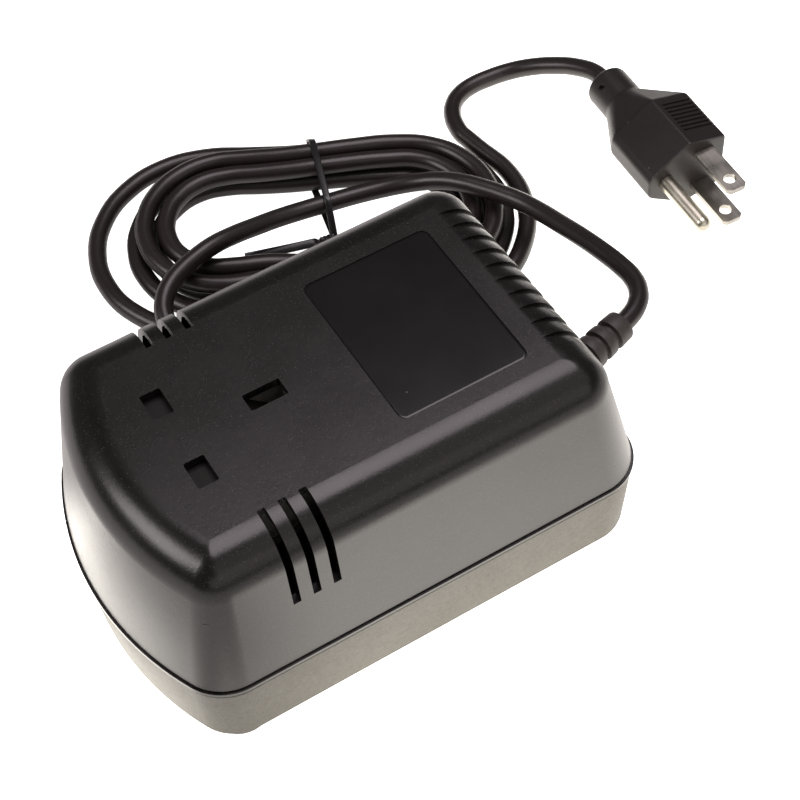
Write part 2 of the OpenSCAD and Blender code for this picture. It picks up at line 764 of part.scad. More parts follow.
module earth_contact() {
    earth_jaw_h = carrier_top - ramp_drop - 2 - pocket_z;
    color("#c8a24a")
        translate([earth_x, 0, pocket_z]) {
            translate([-jaw_w / 2, -pin_t / 2 - strip_t, 0])
                cube([jaw_w, pin_t + 2 * strip_t, strip_t]);
            for (y = [-pin_t / 2 - strip_t, pin_t / 2])
                translate([-jaw_w / 2, y, 0])
                    cube([jaw_w, strip_t, earth_jaw_h]);
        }
}

module transformer_core() {
    color("#6b6f73")
        difference() {
            translate([core_start_x, -core_w / 2, core_z])
                cube([core_l, core_w, core_h]);
            for (side = [-1, 1])
                translate([core_start_x + yoke, side > 0 ? leg_w / 2 : -leg_w / 2 - window_w, core_z - 1])
                    cube([3 * window_w, window_w, core_h + 2]);
        }
}

// A square ring round the core's middle leg
module wrap(x, l, y_in, z_in, thick) {
    translate([x, 0, core_mid_z])
        rotate([90, 0, 90])
            linear_extrude(l)
                difference() {
                    square([2 * (y_in + thick), 2 * (z_in + thick)], center = true);
                    square([2 * y_in, 2 * z_in], center = true);
                }
}

module coil_bobbin() {
    over = 2 * build + tape_t + flange_over;
    color("#e4dfd0") {
        wrap(coil_x, coil_l, tube_y - bobbin_t, tube_z - bobbin_t, bobbin_t);
        for (x = [coil_x, coil_x + coil_l - bobbin_t])
            wrap(x, bobbin_t, tube_y - bobbin_t, tube_z - bobbin_t, bobbin_t + over);
    }
}

winding_x = coil_x + bobbin_t;
winding_l = coil_l - 2 * bobbin_t;

module inner_winding() {
    color("#b5642e") wrap(winding_x, winding_l, tube_y, tube_z, build);
}

module outer_winding() {
    color("#c0702f") wrap(winding_x, winding_l, tube_y + build, tube_z + build, build);
}

module winding_tape() {
    color("#d9b93c") wrap(winding_x, winding_l, tube_y + 2 * build, tube_z + 2 * build, tape_t);
}

module thermal_fuse() {
    color("#d5d5d0")
        translate([winding_x + winding_l / 2, fuse_l / 2, tape_top + fuse_r])
            rotate([90, 0, 0])
                cylinder(r = fuse_r, h = fuse_l);
}

module core_clamps() {
    color("#9a9da0")
        for (x = clamp_places)
            translate([x, 0, 0]) {
                translate([0, -clamp_y - clamp_t, core_top])
                    cube([clamp_w, 2 * (clamp_y + clamp_t), clamp_t]);
                for (side = [-1, 1]) {
                    translate([0, side > 0 ? clamp_y : -clamp_y - clamp_t, core_z])
                        cube([clamp_w, clamp_t, core_h + eps]);
                    difference() {
                        translate([0, side > 0 ? clamp_y : -clamp_y - clamp_ear, core_z])
                            cube([clamp_w, clamp_ear, clamp_t]);
                        translate([clamp_w / 2, side * clamp_screw_y, core_z - 1])
                            cylinder(r = small_screw_r + fit, h = clamp_t + 2);
                    }
                }
            }
}

module clamp_screws() {
    color("#b9b9b4")
        for (x = clamp_places, side = [-1, 1])
            translate([x + clamp_w / 2, side * clamp_screw_y, core_z + clamp_t])
                mirror([0, 0, 1])
                    screw(small_screw_r, clamp_screw_l, small_screw_r * 1.5, small_head_h);
}

// Two insulated wires from the strain relief's flange up to the bobbin
module supply_leads() {
    start_x = inner_end_x - flange_t - fit / 2;
    end_x = coil_x + coil_l;
    rise_x = (core_end_x + start_x) / 2;
    color("#7a4a2a")
        for (side = [-1, 1])
            tube([[start_x, relief_y + side * 2 * wire_r, seam_z],
                  [start_x - 2 * wire_r, relief_y + side * 2 * wire_r, seam_z],
                  [rise_x, relief_y + side * 4 * wire_r, seam_z + 8 * wire_r],
                  [rise_x, side * supply_y, core_top - 4 * wire_r],
                  [core_end_x, side * supply_y, wire_z - wire_r], [end_x + yoke / 2, side * supply_y, wire_z],
                  [end_x + 2 * wire_r, side * supply_y, wire_z], [end_x, side * supply_y, wire_z]],
                 wire_r, 8, [0, 1, 0]);
}

// Two insulated wires from the bobbin round the carrier to the contacts' tabs
module output_leads() {
    tab_z = pocket_z + strip_t / 2;
    way_y = tab_y - tab_w / 2;
    side_x = carrier_end_x + core_gap / 2;
    tab_x = pins_x + tab_w / 2;
    color("#7a4a2a")
        for (side = [-1, 1])
            tube([[coil_x, side * output_y, wire_z], [coil_x - 2 * wire_r, side * output_y, wire_z],
                  [core_start_x + yoke / 2, side * (output_y + wire_r), wire_z],
                  [side_x, side * way_y, wire_z - 3 * wire_r], [side_x - 6, side * way_y, (wire_z + tab_z) / 2],
                  [side_x - 14, side * way_y, tab_z], [tab_x + 4 * wire_r, side * way_y, tab_z],
                  [tab_x, side * way_y, tab_z]],
                 wire_r, 8, [0, 0, 1]);
}

// Strain relief: an inner flange, a neck in the wall, a collar, then a tapered body of rings
// that the cord draws to one side
module strain_relief() {
    body = relief_l - relief_step;
    ring_count = 4;
    ring_pitch = body / ring_count;
    slot_w = ring_pitch * 0.34;
    slot_in = 1.1;
    taper = (relief_body_r - relief_tip_r) / body;
    color("#1f1e1e") {
        along_x(inner_end_x - flange_t - fit / 2, flange_r, flange_t);
        along_x(inner_end_x - 1, neck_r, relief_x - inner_end_x + 2);
        along_x(relief_x, relief_r + 0.5, 2 * relief_step);
        translate(relief_base)
            rotate([0, 90, relief_turn])
                rotate_extrude()
                    difference() {
                        polygon([[0, 0], [relief_body_r, 0], [relief_tip_r, body], [0, body]]);
                        for (i = [1:ring_count - 1])
                            translate([relief_body_r - taper * i * ring_pitch - slot_in, i * ring_pitch - slot_w])
                                square([slot_in + 1, slot_w]);
                    }
    }
}

module cord_lead() {
    color("#232121") tube(lead_route, cord_d / 2, 10);
}

module cord_hank() {
    color("#232121") tube(hank_route, cord_d / 2, 6);
}

module cord_tail() {
    color("#232121") tube(tail_route, cord_d / 2, 10);
}

// Wire tie round the hank's far run and the lead beside it, twisted at the near side
tie_gap = 0.3;
tie_scale = 1 - hank_waist * drawn_in(tie_u);
tie_low = hank_z + tie_lift;
far_inner = hank_r - hank_step * (loops_top - 0.5);
tie_strands = [[far_inner * tie_scale, tie_low], [(far_inner + 2 * hank_step) * tie_scale, tie_low],
               [far_inner * tie_scale, tie_low + layer_h],
               [(far_inner + hank_step) * tie_scale, tie_low + layer_h], [4.7, 8.3]];
tie_knot = [-3.5, 3.2];
module tie_outline(over) {
    hull() {
        for (p = tie_strands)
            translate(p)
                circle(cord_d / 2 + tie_gap + over, $fn = 24);
        translate(tie_knot)
            circle(0.2 + over, $fn = 24);
    }
}

module cord_tie() {
    color("#161515")
        translate([hank_at.x, hank_at.y, 0])
            rotate([0, 0, hank_a]) {
                translate([tie_u - tie_w / 2, 0, 0])
                    rotate([90, 0, 90])
                        linear_extrude(tie_w)
                            difference() {
                                tie_outline(tie_t);
                                tie_outline(0);
                            }
                tube([[tie_u, tie_knot.x - 0.3, tie_knot.y], [tie_u - 5, tie_knot.x - 1.2, tie_knot.y - 0.6],
                      [tie_u - 11, tie_knot.x - 2.2, tie_knot.y - 1.2],
                      [tie_u - 18, tie_knot.x - 3, tie_knot.y - 1.6],
                      [tie_u - 25, tie_knot.x - 3.6, tie_knot.y - 1.8]], tie_w / 2, 6);
            }
}

// Plug across its axis: rounded at the earth pin's side, widest at a ridge above and below,
// narrowing again to the blades' flat side
plug_flat_x = plug_x + 13;
plug_ridge_x = plug_x + 1;
plug_edge_r = 1.5;
plug_round_r = 4;
plug_round_x = earth_pin_x - 2;
plug_flat_h = 19;
module plug_outline(less = 0) {
    for (side = [-1, 1]) {
        translate([plug_flat_x - plug_edge_r, plug_z + side * (plug_flat_h / 2 - plug_edge_r)])
            circle(plug_edge_r - less, $fn = 16);
        translate([plug_ridge_x, plug_z + side * (plug_h / 2 - plug_edge_r)])
            circle(plug_edge_r - less, $fn = 16);
        translate([plug_round_x, plug_z + side * 1.5])
            circle(plug_round_r - less, $fn = 32);
    }
}

// Puts the plug, drawn along Y, at its turn
module plug_pose() {
    translate([plug_x, plug_face_y, 0])
        rotate([0, 0, plug_turn])
            translate([-plug_x, -plug_face_y, 0])
                children();
}

// Turns a drawing in X and Z, raised along +Z, to lie along +Y from y
module along_y(y, l) {
    translate([0, y + l, 0])
        rotate([90, 0, 0])
            linear_extrude(l)
                children();
}

module plug_body() {
    groove_start = 5;
    groove_pitch = (plug_grip_l - groove_start - 2) / plug_groove_count;
    groove_in = 0.6;
    color("#2a2524")
        plug_pose()
            difference() {
                union() {
                    hull() {
                        along_y(plug_face_y, plug_grip_l)
                            plug_outline();
                        along_y(plug_neck_y, 1)
                            translate([plug_x, plug_z])
                                circle(plug_neck_r, $fn = 32);
                    }
                    translate([plug_x, plug_neck_y - 2, plug_z])
                        rotate([-90, 0, 0])
                            cylinder(r = plug_neck_r, h = plug_neck_l + 2);
                }
                difference() {
                    for (i = [0:plug_groove_count - 1])
                        translate([plug_ridge_x + 1, plug_face_y + groove_start + i * groove_pitch, -1])
                            cube([plug_flat_x, groove_pitch * 0.45, plug_h + 2]);
                    hull()
                        along_y(plug_face_y - 1, plug_grip_l + 2)
                            plug_outline(groove_in);
                }
                plug_blade_bars(fit / 4);
                translate([earth_pin_x, plug_face_y - 1, plug_z])
                    rotate([-90, 0, 0])
                        cylinder(r = earth_root_r + fit / 4, h = root_l + 1);
            }
}

// The two blades as plain bars, from inside the plug to their tips
module plug_blade_bars(grow = 0) {
    for (side = [-1, 1])
        translate([blade_x - blade_w / 2 - grow, plug_face_y - blade_l,
                   plug_z + side * blade_apart / 2 - blade_t / 2 - grow])
            cube([blade_w + 2 * grow, blade_l + root_l, blade_t + 2 * grow]);
}

module plug_blades() {
    tip_cut = 1.6;
    color("#c9c9c4")
        plug_pose()
            difference() {
                plug_blade_bars();
                translate([blade_x, plug_face_y - blade_l + 4.5, 0])
                    cylinder(d = blade_hole_d, h = plug_h);
                for (m = [0, 1])
                    translate([blade_x, plug_face_y - blade_l, 0])
                        mirror([m, 0, 0])
                            linear_extrude(plug_h)
                                polygon([[blade_w / 2 - tip_cut, -1], [blade_w / 2 + 1, -1],
                                         [blade_w / 2 + 1, tip_cut + 1], [blade_w / 2 - tip_cut, 0]]);
            }
}

module plug_earth_pin() {
    pin_r = earth_pin_d / 2;
    color("#c9b27a")
        plug_pose()
            translate([earth_pin_x, plug_face_y, plug_z])
                rotate([90, 0, 0]) {
                    translate([0, 0, -root_l])
                        cylinder(r = earth_root_r, h = root_l + 1);
                    cylinder(r = pin_r, h = earth_pin_l - pin_r);
                    translate([0, 0, earth_pin_l - pin_r])
                        intersection() {
                            sphere(pin_r);
                            translate([-pin_r - 1, -pin_r - 1, 0])
                                cube(2 * pin_r + 2);
                        }
                }
}

upper_shell();
lower_shell();
rating_plate();
case_screws();
socket_carrier();
carrier_screws();
socket_shutter();
shutter_spring();
live_contact();
neutral_contact();
earth_contact();
transformer_core();
coil_bobbin();
inner_winding();
outer_winding();
winding_tape();
thermal_fuse();
core_clamps();
clamp_screws();
supply_leads();
output_leads();
strain_relief();
cord_lead();
cord_hank();
cord_tail();
cord_tie();
plug_body();
plug_blades();
plug_earth_pin();
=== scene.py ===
import math

import bpy
from mathutils import Matrix, Vector


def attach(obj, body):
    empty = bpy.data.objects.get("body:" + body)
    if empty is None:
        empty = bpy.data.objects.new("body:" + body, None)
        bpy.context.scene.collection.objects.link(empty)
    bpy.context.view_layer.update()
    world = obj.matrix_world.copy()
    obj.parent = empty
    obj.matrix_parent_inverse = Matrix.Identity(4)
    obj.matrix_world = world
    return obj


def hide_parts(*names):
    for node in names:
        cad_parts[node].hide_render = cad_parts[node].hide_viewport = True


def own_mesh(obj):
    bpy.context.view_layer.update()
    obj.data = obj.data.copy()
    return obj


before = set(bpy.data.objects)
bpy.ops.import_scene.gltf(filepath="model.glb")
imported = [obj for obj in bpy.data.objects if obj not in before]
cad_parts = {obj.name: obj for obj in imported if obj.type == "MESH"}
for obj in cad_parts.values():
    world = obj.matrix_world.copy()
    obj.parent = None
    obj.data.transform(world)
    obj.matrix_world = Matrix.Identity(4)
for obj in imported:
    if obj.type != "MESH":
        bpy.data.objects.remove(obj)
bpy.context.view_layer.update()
mm = 0.001  # sizes below are in millimetres
print("frame loaded,", len(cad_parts), "nodes")


# plain modelling helpers

def clearSelection():
    active = bpy.context.view_layer.objects.active
    if active is not None and active.mode != "OBJECT":
        bpy.ops.object.mode_set(mode="OBJECT")
    bpy.ops.object.select_all(action="DESELECT")


def pick(piece):
    clearSelection()
    piece.select_set(True)
    bpy.context.view_layer.objects.active = piece


def loft(name, rings):
    # a disc put on the first ring, then extruded from ring to ring
    rings = [[Vector(p) * mm for p in ring] for ring in rings]
    clearSelection()
    bpy.ops.mesh.primitive_circle_add(vertices=len(rings[0]), radius=0.01, fill_type="NGON")
    piece = bpy.context.object
    piece.name = name
    for corner, place in zip(piece.data.vertices, rings[0]):
        corner.co = place
    for before, after in zip(rings[:-1], rings[1:]):
        bpy.ops.object.mode_set(mode="EDIT")
        bpy.ops.mesh.extrude_region_move()
        bpy.ops.object.mode_set(mode="OBJECT")
        goesTo = {tuple(a): b for a, b in zip(before, after)}
        for corner in piece.data.vertices:
            if corner.select:
                corner.co = goesTo[tuple(corner.co)]
    pick(piece)
    bpy.ops.object.mode_set(mode="EDIT")
    bpy.ops.mesh.select_all(action="SELECT")
    bpy.ops.mesh.remove_doubles(threshold=1e-7)
    bpy.ops.mesh.normals_make_consistent(inside=False)
    bpy.ops.object.mode_set(mode="OBJECT")
    return piece


def block(lo, hi):
    # a plain cutter
    clearSelection()
    size = [(b - a) * mm for a, b in zip(lo, hi)]
    centre = [(a + b) / 2 * mm for a, b in zip(lo, hi)]
    bpy.ops.mesh.primitive_cube_add(size=1, location=centre, scale=size)
    bpy.ops.object.transform_apply(location=True, rotation=True, scale=True)
    return bpy.context.object


def joined(pieces):
    clearSelection()
    for piece in pieces:
        piece.select_set(True)
    bpy.context.view_layer.objects.active = pieces[0]
    if len(pieces) > 1:
        bpy.ops.object.join()
    return pieces[0]


def boolean(piece, tool, operation="DIFFERENCE"):
    step = piece.modifiers.new("cut", "BOOLEAN")
    step.operation = operation
    step.solver = "EXACT"
    step.object = tool
    pick(piece)
    bpy.ops.object.modifier_apply(modifier="cut")
    bpy.data.objects.remove(tool, do_unlink=True)


def sleeve(name, rings):
    # a loft that closes on its first ring, open through the middle
    piece = loft(name, rings + rings[:1])
    pick(piece)
    bpy.ops.object.mode_set(mode="EDIT")
    bpy.ops.mesh.select_mode(type="FACE")
    bpy.ops.mesh.select_face_by_sides(number=4, type="GREATER", extend=False)
    bpy.ops.mesh.delete(type="ONLY_FACE")
    bpy.ops.mesh.select_all(action="SELECT")
    bpy.ops.mesh.remove_doubles(threshold=0.001 * mm)
    bpy.ops.mesh.normals_make_consistent(inside=False)
    bpy.ops.object.mode_set(mode="OBJECT")
    return piece


def smoothed(piece, angle):
    pick(piece)
    bpy.ops.object.shade_smooth_by_angle(angle=math.radians(angle))


def evened(piece):
    # normals that follow the large faces, so flat ones stay flat beside small ones
    step = piece.modifiers.new("even", "WEIGHTED_NORMAL")
    step.keep_sharp = True
    step.weight = 90
    pick(piece)
    bpy.ops.object.modifier_apply(modifier="even")


def roundedRect(cx, cy, length, width, radius, z, steps=4):
    points = []
    for turn, sx, sy in ((0, 1, 1), (90, -1, 1), (180, -1, -1), (270, 1, -1)):
        for i in range(steps + 1):
            a = math.radians(turn + 90 * i / steps)
            points.append((cx + sx * (length / 2 - radius) + radius * math.cos(a),
                           cy + sy * (width / 2 - radius) + radius * math.sin(a), z))
    return points


def circle(radius, count):
    # evenly spaced points round a centre, as pairs
    turns = [2 * math.pi * i / count for i in range(count)]
    return [(radius * math.cos(a), radius * math.sin(a)) for a in turns]


def circleX(x, radius, y, z, count=48):
    return [(x, y + a, z + b) for a, b in circle(radius, count)]


def circleZ(x, y, radius, z, count=32):
    return [(x + a, y + b, z) for a, b in circle(radius, count)]


# camera, at the photograph's viewing angle
cameraSet = {"place": (-108.08, -245.74, 408.47), "azimuth": -27.48, "elevation": 53.15, "roll": -4.32,
             "lens": 85.06, "sensor": 36, "near": 0.01}


def makeCamera():
    data = bpy.data.cameras.new("viewCamera")
    data.lens = cameraSet["lens"]
    data.sensor_width = cameraSet["sensor"]
    data.clip_start = cameraSet["near"]
    camera = bpy.data.objects.new("viewCamera", data)
    bpy.context.collection.objects.link(camera)
    turn = (Matrix.Rotation(math.radians(cameraSet["azimuth"]), 4, "Z")
            @ Matrix.Rotation(math.radians(90 - cameraSet["elevation"]), 4, "X")
            @ Matrix.Rotation(math.radians(cameraSet["roll"]), 4, "Z"))
    camera.matrix_world = Matrix.Translation(Vector(cameraSet["place"]) * mm) @ turn
    bpy.context.scene.camera = camera


makeCamera()
print("camera placed")


# mains cord: out of the strain relief, over the hank, round it, and on to the plug
cordSet = {"diameter": 5.4, "seam": 24,
           "hankAt": (41, 91), "hankTurn": -27, "run": 27, "leftRun": 22, "leftEarly": 0.8, "leftOver": 5,
           "radius": 28.8, "step": 6.3, "waist": 0.06, "waistWidth": 16, "layer": 5.9, "fallOver": 0.18,
           "loopsTop": 2, "loopTurn": 0.75, "loopStart": 0.07, "loopsAll": 5.34, "perLoop": 24,
           "tieAt": 6, "tieLift": 1.1,
           "lead": [(92.9, 2.7, 24), (96.3, 6.6, 23.8), (97.9, 11.4, 23.4), (98, 17, 22.8),
                    (97.4, 24.6, 21.7), (96.4, 33.4, 20.1), (95.2, 41.6, 18.4), (93.9, 49.2, 17),
                    (92, 56.1, 16), (89.2, 61.9, 15.6), (86, 67.4, 15.2), (82.6, 72.7, 14.6),
                    (78.9, 77.8, 13.2), (74.6, 82.3, 11.2), (69.2, 86, 9.6), (62.8, 88.9, 8.6),
                    (55.9, 91, 8.2), (48.6, 92.5, 8.2), (41.2, 93.4, 8.8), (33.8, 93.4, 10.2),
                    (26.4, 92.6, 12), (19, 91.6, 13.8), (12, 90.4, 15), (6, 88.9, 15.2), (0.6, 87, 15.2),
                    (-4.4, 84.4, 14.9), (-8.2, 81, 14.2), (-10.6, 76.4, 13.4), (-11, 71.4, 12.4),
                    (-9.4, 66.6, 11.4), (-6, 62.8, 10.5), (-1.2, 60.2, 9.8), (4.6, 59.4, 9.4),
                    (11.2, 60.9, 9.1), (18.2, 63.2, 9.1), (25.6, 64.4, 9)],
           "tail": [(99.2, 102.6, 2.7), (100.4, 106.8, 2.7), (103, 110.8, 2.7), (107.2, 113.7, 2.7),
                    (112.2, 114.9, 2.8), (117.8, 114.5, 3.2), (124, 112.7, 4.2), (129.8, 109, 6),
                    (134.9, 103.6, 8.2), (138.9, 97.2, 10.4)]}
reliefSet = {"start": 66.45, "y": -5.5, "turn": 16, "length": 20, "collar": 5.7, "radius": 4.9, "tip": 4.3,
             "rings": 4, "slot": 0.34, "slotDepth": 1.25, "flange": 6.6, "round": 0.35}
plugSet = {"x": 138.7, "faceY": 42.7, "z": 12, "turn": -3, "grip": 20, "shoulder": 12, "neck": 11,
           "neckRadius": 6.5, "height": 24, "flatHeight": 19, "flatOut": 13, "ridgeOut": 1, "edgeRadius": 1.5,
           "roundOut": -8.2, "roundRadius": 4, "roundHalf": 1.5,
           "grooves": 8, "grooveStart": 5, "grooveDepth": 0.4,
           "faceEdge": [(0, 1.2), (0, 0.5), (0.15, 0.14), (0.5, 0)],
           "neckEnd": [(-1.6, 6.5), (-0.8, 6.25), (-0.25, 5.7), (0, 4.9), (0, 3.2), (-0.5, 2.85), (-2, 2.75)],
           "dimpleOut": -4.6, "dimpleFromEnd": 5, "dimpleRadius": 0.9, "dimpleZ": (3.6, 9),
           "bladeOut": 5.7, "bladeApart": 12.7, "bladeLength": 17.5, "bladeWidth": 6.35, "bladeThick": 1.5,
           "bladeHole": 3.5, "holeFromTip": 4.5, "holeEdge": 0.15, "tipCut": 1.1, "root": 9, "rootGap": 0.05,
           "pinOut": -6.2, "pinLength": 20.5, "pinDiameter": 4.8, "pinRoot": 0.38}


def plugPoint(x, y, z):
    # from the plug's own axes (x across, y back from its face) to the model's
    a = math.radians(plugSet["turn"])
    return (plugSet["x"] + x * math.cos(a) - y * math.sin(a),
            plugSet["faceY"] + x * math.sin(a) + y * math.cos(a), plugSet["z"] + z)


def reliefStep():
    # how far from the wall the strain relief's turned part starts
    return reliefSet["radius"] * math.sin(math.radians(reliefSet["turn"])) + 0.25


def reliefPoint(along, across=0.0, rise=0.0):
    # from the turned part's own axes to the model's
    a = math.radians(reliefSet["turn"])
    return Vector((reliefSet["start"] + reliefStep() + along * math.cos(a) - across * math.sin(a),
                   reliefSet["y"] + along * math.sin(a) + across * math.cos(a), cordSet["seam"] + rise))


def eased(x):
    x = min(max(x, 0), 1)
    return x * x * (3 - 2 * x)


def leftRun(r):
    # the straight run on the left side, longer on the outermost turns
    s = cordSet
    share = eased((r - s["radius"] + s["leftEarly"]) / s["leftOver"])
    return s["leftRun"] + (s["run"] - s["leftRun"]) * share


def quarterRun(share, r, run):
    # from the end of a long oval round to the middle of its side
    arc = r * math.pi / 2
    way = share * (arc + run)
    if way < arc:
        return run + r * math.cos(way / r), r * math.sin(way / r)
    return run - (way - arc), r


def oval(loops, r):
    q = (loops - math.floor(loops)) * 4
    if q < 1:
        return quarterRun(q, r, cordSet["run"])
    if q < 2:
        x, y = quarterRun(2 - q, r, leftRun(r))
        return -x, y
    if q < 3:
        x, y = quarterRun(q - 2, r, leftRun(r))
        return -x, -y
    x, y = quarterRun(4 - q, r, cordSet["run"])
    return x, -y


def drawnIn(u):
    # how much of the tie's pull is left, this far along the hank
    return math.exp(-(u / cordSet["waistWidth"]) ** 2)


def hankFrame(u, v, z):
    # from the hank's own axes to the model's
    a = math.radians(cordSet["hankTurn"])
    x, y = cordSet["hankAt"]
    return Vector((x + u * math.cos(a) - v * math.sin(a), y + u * math.sin(a) + v * math.cos(a), z))


def hankPoint(t):
    # the turns wind inwards on the upper layer, then outwards on the lower one
    top = cordSet["loopsTop"]
    r = cordSet["radius"] - cordSet["step"] * (t if t < top else 2 * top - t)
    u, v = oval(t + cordSet["loopTurn"], r)
    lift = cordSet["tieLift"] * drawnIn(u - cordSet["tieAt"]) if v > 0 else 0
    v *= 1 - cordSet["waist"] * drawnIn(u)
    fall = eased((t - top) / cordSet["fallOver"] + 0.5)
    return hankFrame(u, v, cordSet["diameter"] / 2 + cordSet["layer"] * (1 - fall) + lift)


def cordPoints():
    d = cordSet["diameter"]
    rings = math.ceil((cordSet["loopsAll"] - cordSet["loopStart"]) * cordSet["perLoop"])
    turns = [hankPoint(cordSet["loopStart"] + (cordSet["loopsAll"] - cordSet["loopStart"]) * i / rings)
             for i in range(rings + 1)]
    inward = (turns[1] - turns[0]).normalized()
    outward = (turns[-1] - turns[-2]).normalized()
    tip = reliefSet["length"] - reliefStep()
    end = plugSet["grip"] + plugSet["shoulder"] + plugSet["neck"]
    points = [reliefPoint(tip), reliefPoint(tip + 0.5 * d)] + cordSet["lead"]
    points += [turns[0] - inward * 2 * d, turns[0] - inward * d] + turns
    points += [turns[-1] + outward * d, turns[-1] + outward * 1.4 * d] + cordSet["tail"]
    points += [plugPoint(0, end + 0.8 * d, 0), plugPoint(0, end, 0)]
    return [Vector(p) for p in points]


def makeCord():
    points = cordPoints()
    curve = bpy.data.curves.new("mainsCord", "CURVE")
    curve.dimensions = "3D"
    curve.resolution_u = 5
    curve.bevel_depth = cordSet["diameter"] / 2 * mm
    curve.bevel_resolution = 6
    curve.use_fill_caps = True
    spline = curve.splines.new("BEZIER")
    spline.bezier_points.add(len(points) - 1)
    for knot, place in zip(spline.bezier_points, points):
        knot.co = place * mm
        knot.handle_left_type = knot.handle_right_type = "AUTO"
    piece = bpy.data.objects.new("mainsCord", curve)
    bpy.context.collection.objects.link(piece)
    length = sum((b - a).length for a, b in zip(points, points[1:])) * mm
    return piece, length


mainsCord, cordLength = makeCord()
print("cord laid,", round(cordLength, 3), "m")


# housing: both shells follow one plan of straight sides, round corners and a bowed end
housing = {"length": 132, "width": 85, "height": 66, "seam": 24, "bow": 80, "corner": 13, "upperLean": 6.5,
           "lowerLean": 4, "topEdge": 10.8, "baseEdge": 2, "wall": 2.2, "roof": 63.6, "rimHigh": 1.4,
           "rimOut": 0.35, "gapHigh": 0.6, "gapIn": 0.6, "footHigh": 1, "footRadius": 8.2, "footIn": 2.6,
           "floor": 3.2, "screwOut": 6, "headRadius": 2.7, "headSeat": 15, "screwRadius": 1.5,
           "screwWall": 1.8, "neckRadius": 4.3, "endOut": 4, "bowIn": 1.7}
cornerY = housing["width"] / 2 - housing["corner"]
cornerRight = housing["length"] / 2 - housing["endOut"] - housing["corner"]
topEnd = housing["length"] / 2 - housing["endOut"]
bowX = housing["bow"] - housing["length"] / 2
cornerLeft = bowX - math.sqrt((housing["bow"] - housing["corner"]) ** 2 - cornerY ** 2)
bowAngle = math.degrees(math.atan2(cornerY, bowX - cornerLeft))


def endOut(z):
    # how far the cord end's wall stands out from its place under the top edge
    low = housing["seam"] + housing["rimHigh"]
    high = housing["height"] - housing["topEdge"]
    return housing["endOut"] * min(max((high - z) / (high - low), 0), 1)


def bowIn(z):
    # the bowed end leans in more than the sides do
    high = housing["height"] - housing["topEdge"]
    return housing["bowIn"] * min(max((z - housing["seam"]) / (high - housing["seam"]), 0), 1)


def planRing(inset, z):
    # anticlockwise from the front right corner; the cord end slopes out towards the seam
    r = max(housing["corner"] - inset, 0.3)
    more = r - housing["corner"] + inset
    right, side = cornerRight + endOut(z) - more, cornerY - more
    middle = bowX + bowIn(z)
    left = middle - math.sqrt((housing["bow"] - housing["corner"] - more) ** 2 - side ** 2)
    turn = math.degrees(math.atan2(side, middle - left))
    points = []

    def arc(cx, cy, radius, start, stop, steps, ends=True):
        for i in range(0 if ends else 1, steps + (1 if ends else 0)):
            a = math.radians(start + (stop - start) * i / steps)
            points.append((cx + radius * math.cos(a), cy + radius * math.sin(a), z))

    arc(right, -side, r, -90, 0, 16)
    arc(right, side, r, 0, 90, 16)
    arc(left, side, r, 90, 180 - turn, 12)
    arc(middle, 0, housing["bow"] - inset, 180 - turn, 180 + turn, 24, False)
    arc(left, -side, r, 180 + turn, 270, 12)
    return points


def screwPlaces():
    leftTurn = math.radians(90 + (90 - bowAngle) / 2)
    out = housing["screwOut"]
    places = []
    for side in (-1, 1):
        for x, turn in ((cornerRight, math.pi / 4), (cornerLeft, leftTurn)):
            places.append((x + out * math.cos(turn), side * (cornerY + out * math.sin(turn))))
    return places


def atScrews(name, radius, low, high, count):
    return [loft(name, [circleZ(x, y, radius, z, count) for z in (low, high)]) for x, y in screwPlaces()]


def topEdgeProfile(steps=12):
    # (inset, z) from the wall over the rounded top edge to the flat top
    lean = math.radians(housing["upperLean"])
    edge = housing["topEdge"]
    rise = housing["height"] - housing["seam"]
    tipZ = rise - edge + edge * math.sin(lean)
    middle = housing["corner"] - tipZ * math.tan(lean) - edge * math.cos(lean)
    profile = []
    for i in range(steps + 1):
        a = lean + (math.pi / 2 - lean) * i / steps
        out = middle + edge * math.cos(a)
        profile.append((housing["corner"] - out, housing["height"] - edge + edge * math.sin(a)))
    return profile


# upper shell
upperSet = {"slots": [(-36.9, -11.1, 5.2, 7.9), (-36.9, 11.1, 5.2, 7.9), (-14.7, 0, 9.6, 5.1)],
            "slotCorner": 0.5, "ventX": -25.4, "ventPitch": 5.2, "ventWidth": 2, "ventIn": 27, "ventLow": 45,
            "grips": 10, "gripPitch": 5.1, "gripWidth": 4.3, "gripDepth": 0.72, "gripIn": 14.6,
            "gripDrop": 13, "gripSweep": 84, "gripFade": 0.74, "gripClear": 0.06,
            "plateAt": 24.9, "plateLength": 34.2, "plateWidth": 46.6, "plateCorner": 2, "plateDeep": 0.4,
            "ceiling": [(11.2, 0), (9.2, -0.7), (7.6, -2.6), (6.5, -6)], "bossTop": 50, "holeTop": 40}


def edgeReach(angle, centre):
    # distance from the groove's centre to the outside of the cord end's top edge
    lean = math.tan(math.radians(housing["upperLean"]))
    inset = topEdgeProfile(1)[1][0]
    midX = topEnd - inset
    midZ = housing["height"] - housing["topEdge"]
    low, high = 5.0, 30.0
    for i in range(40):
        r = (low + high) / 2
        x = centre[0] + r * math.cos(angle)
        z = centre[1] + r * math.sin(angle)
        inside = z < housing["height"] and x < topEnd + endOut(z) - (z - housing["seam"]) * lean
        if x > midX and z > midZ:
            inside = inside and math.hypot(x - midX, z - midZ) < housing["topEdge"]
        low, high = (r, high) if inside else (low, r)
    return low


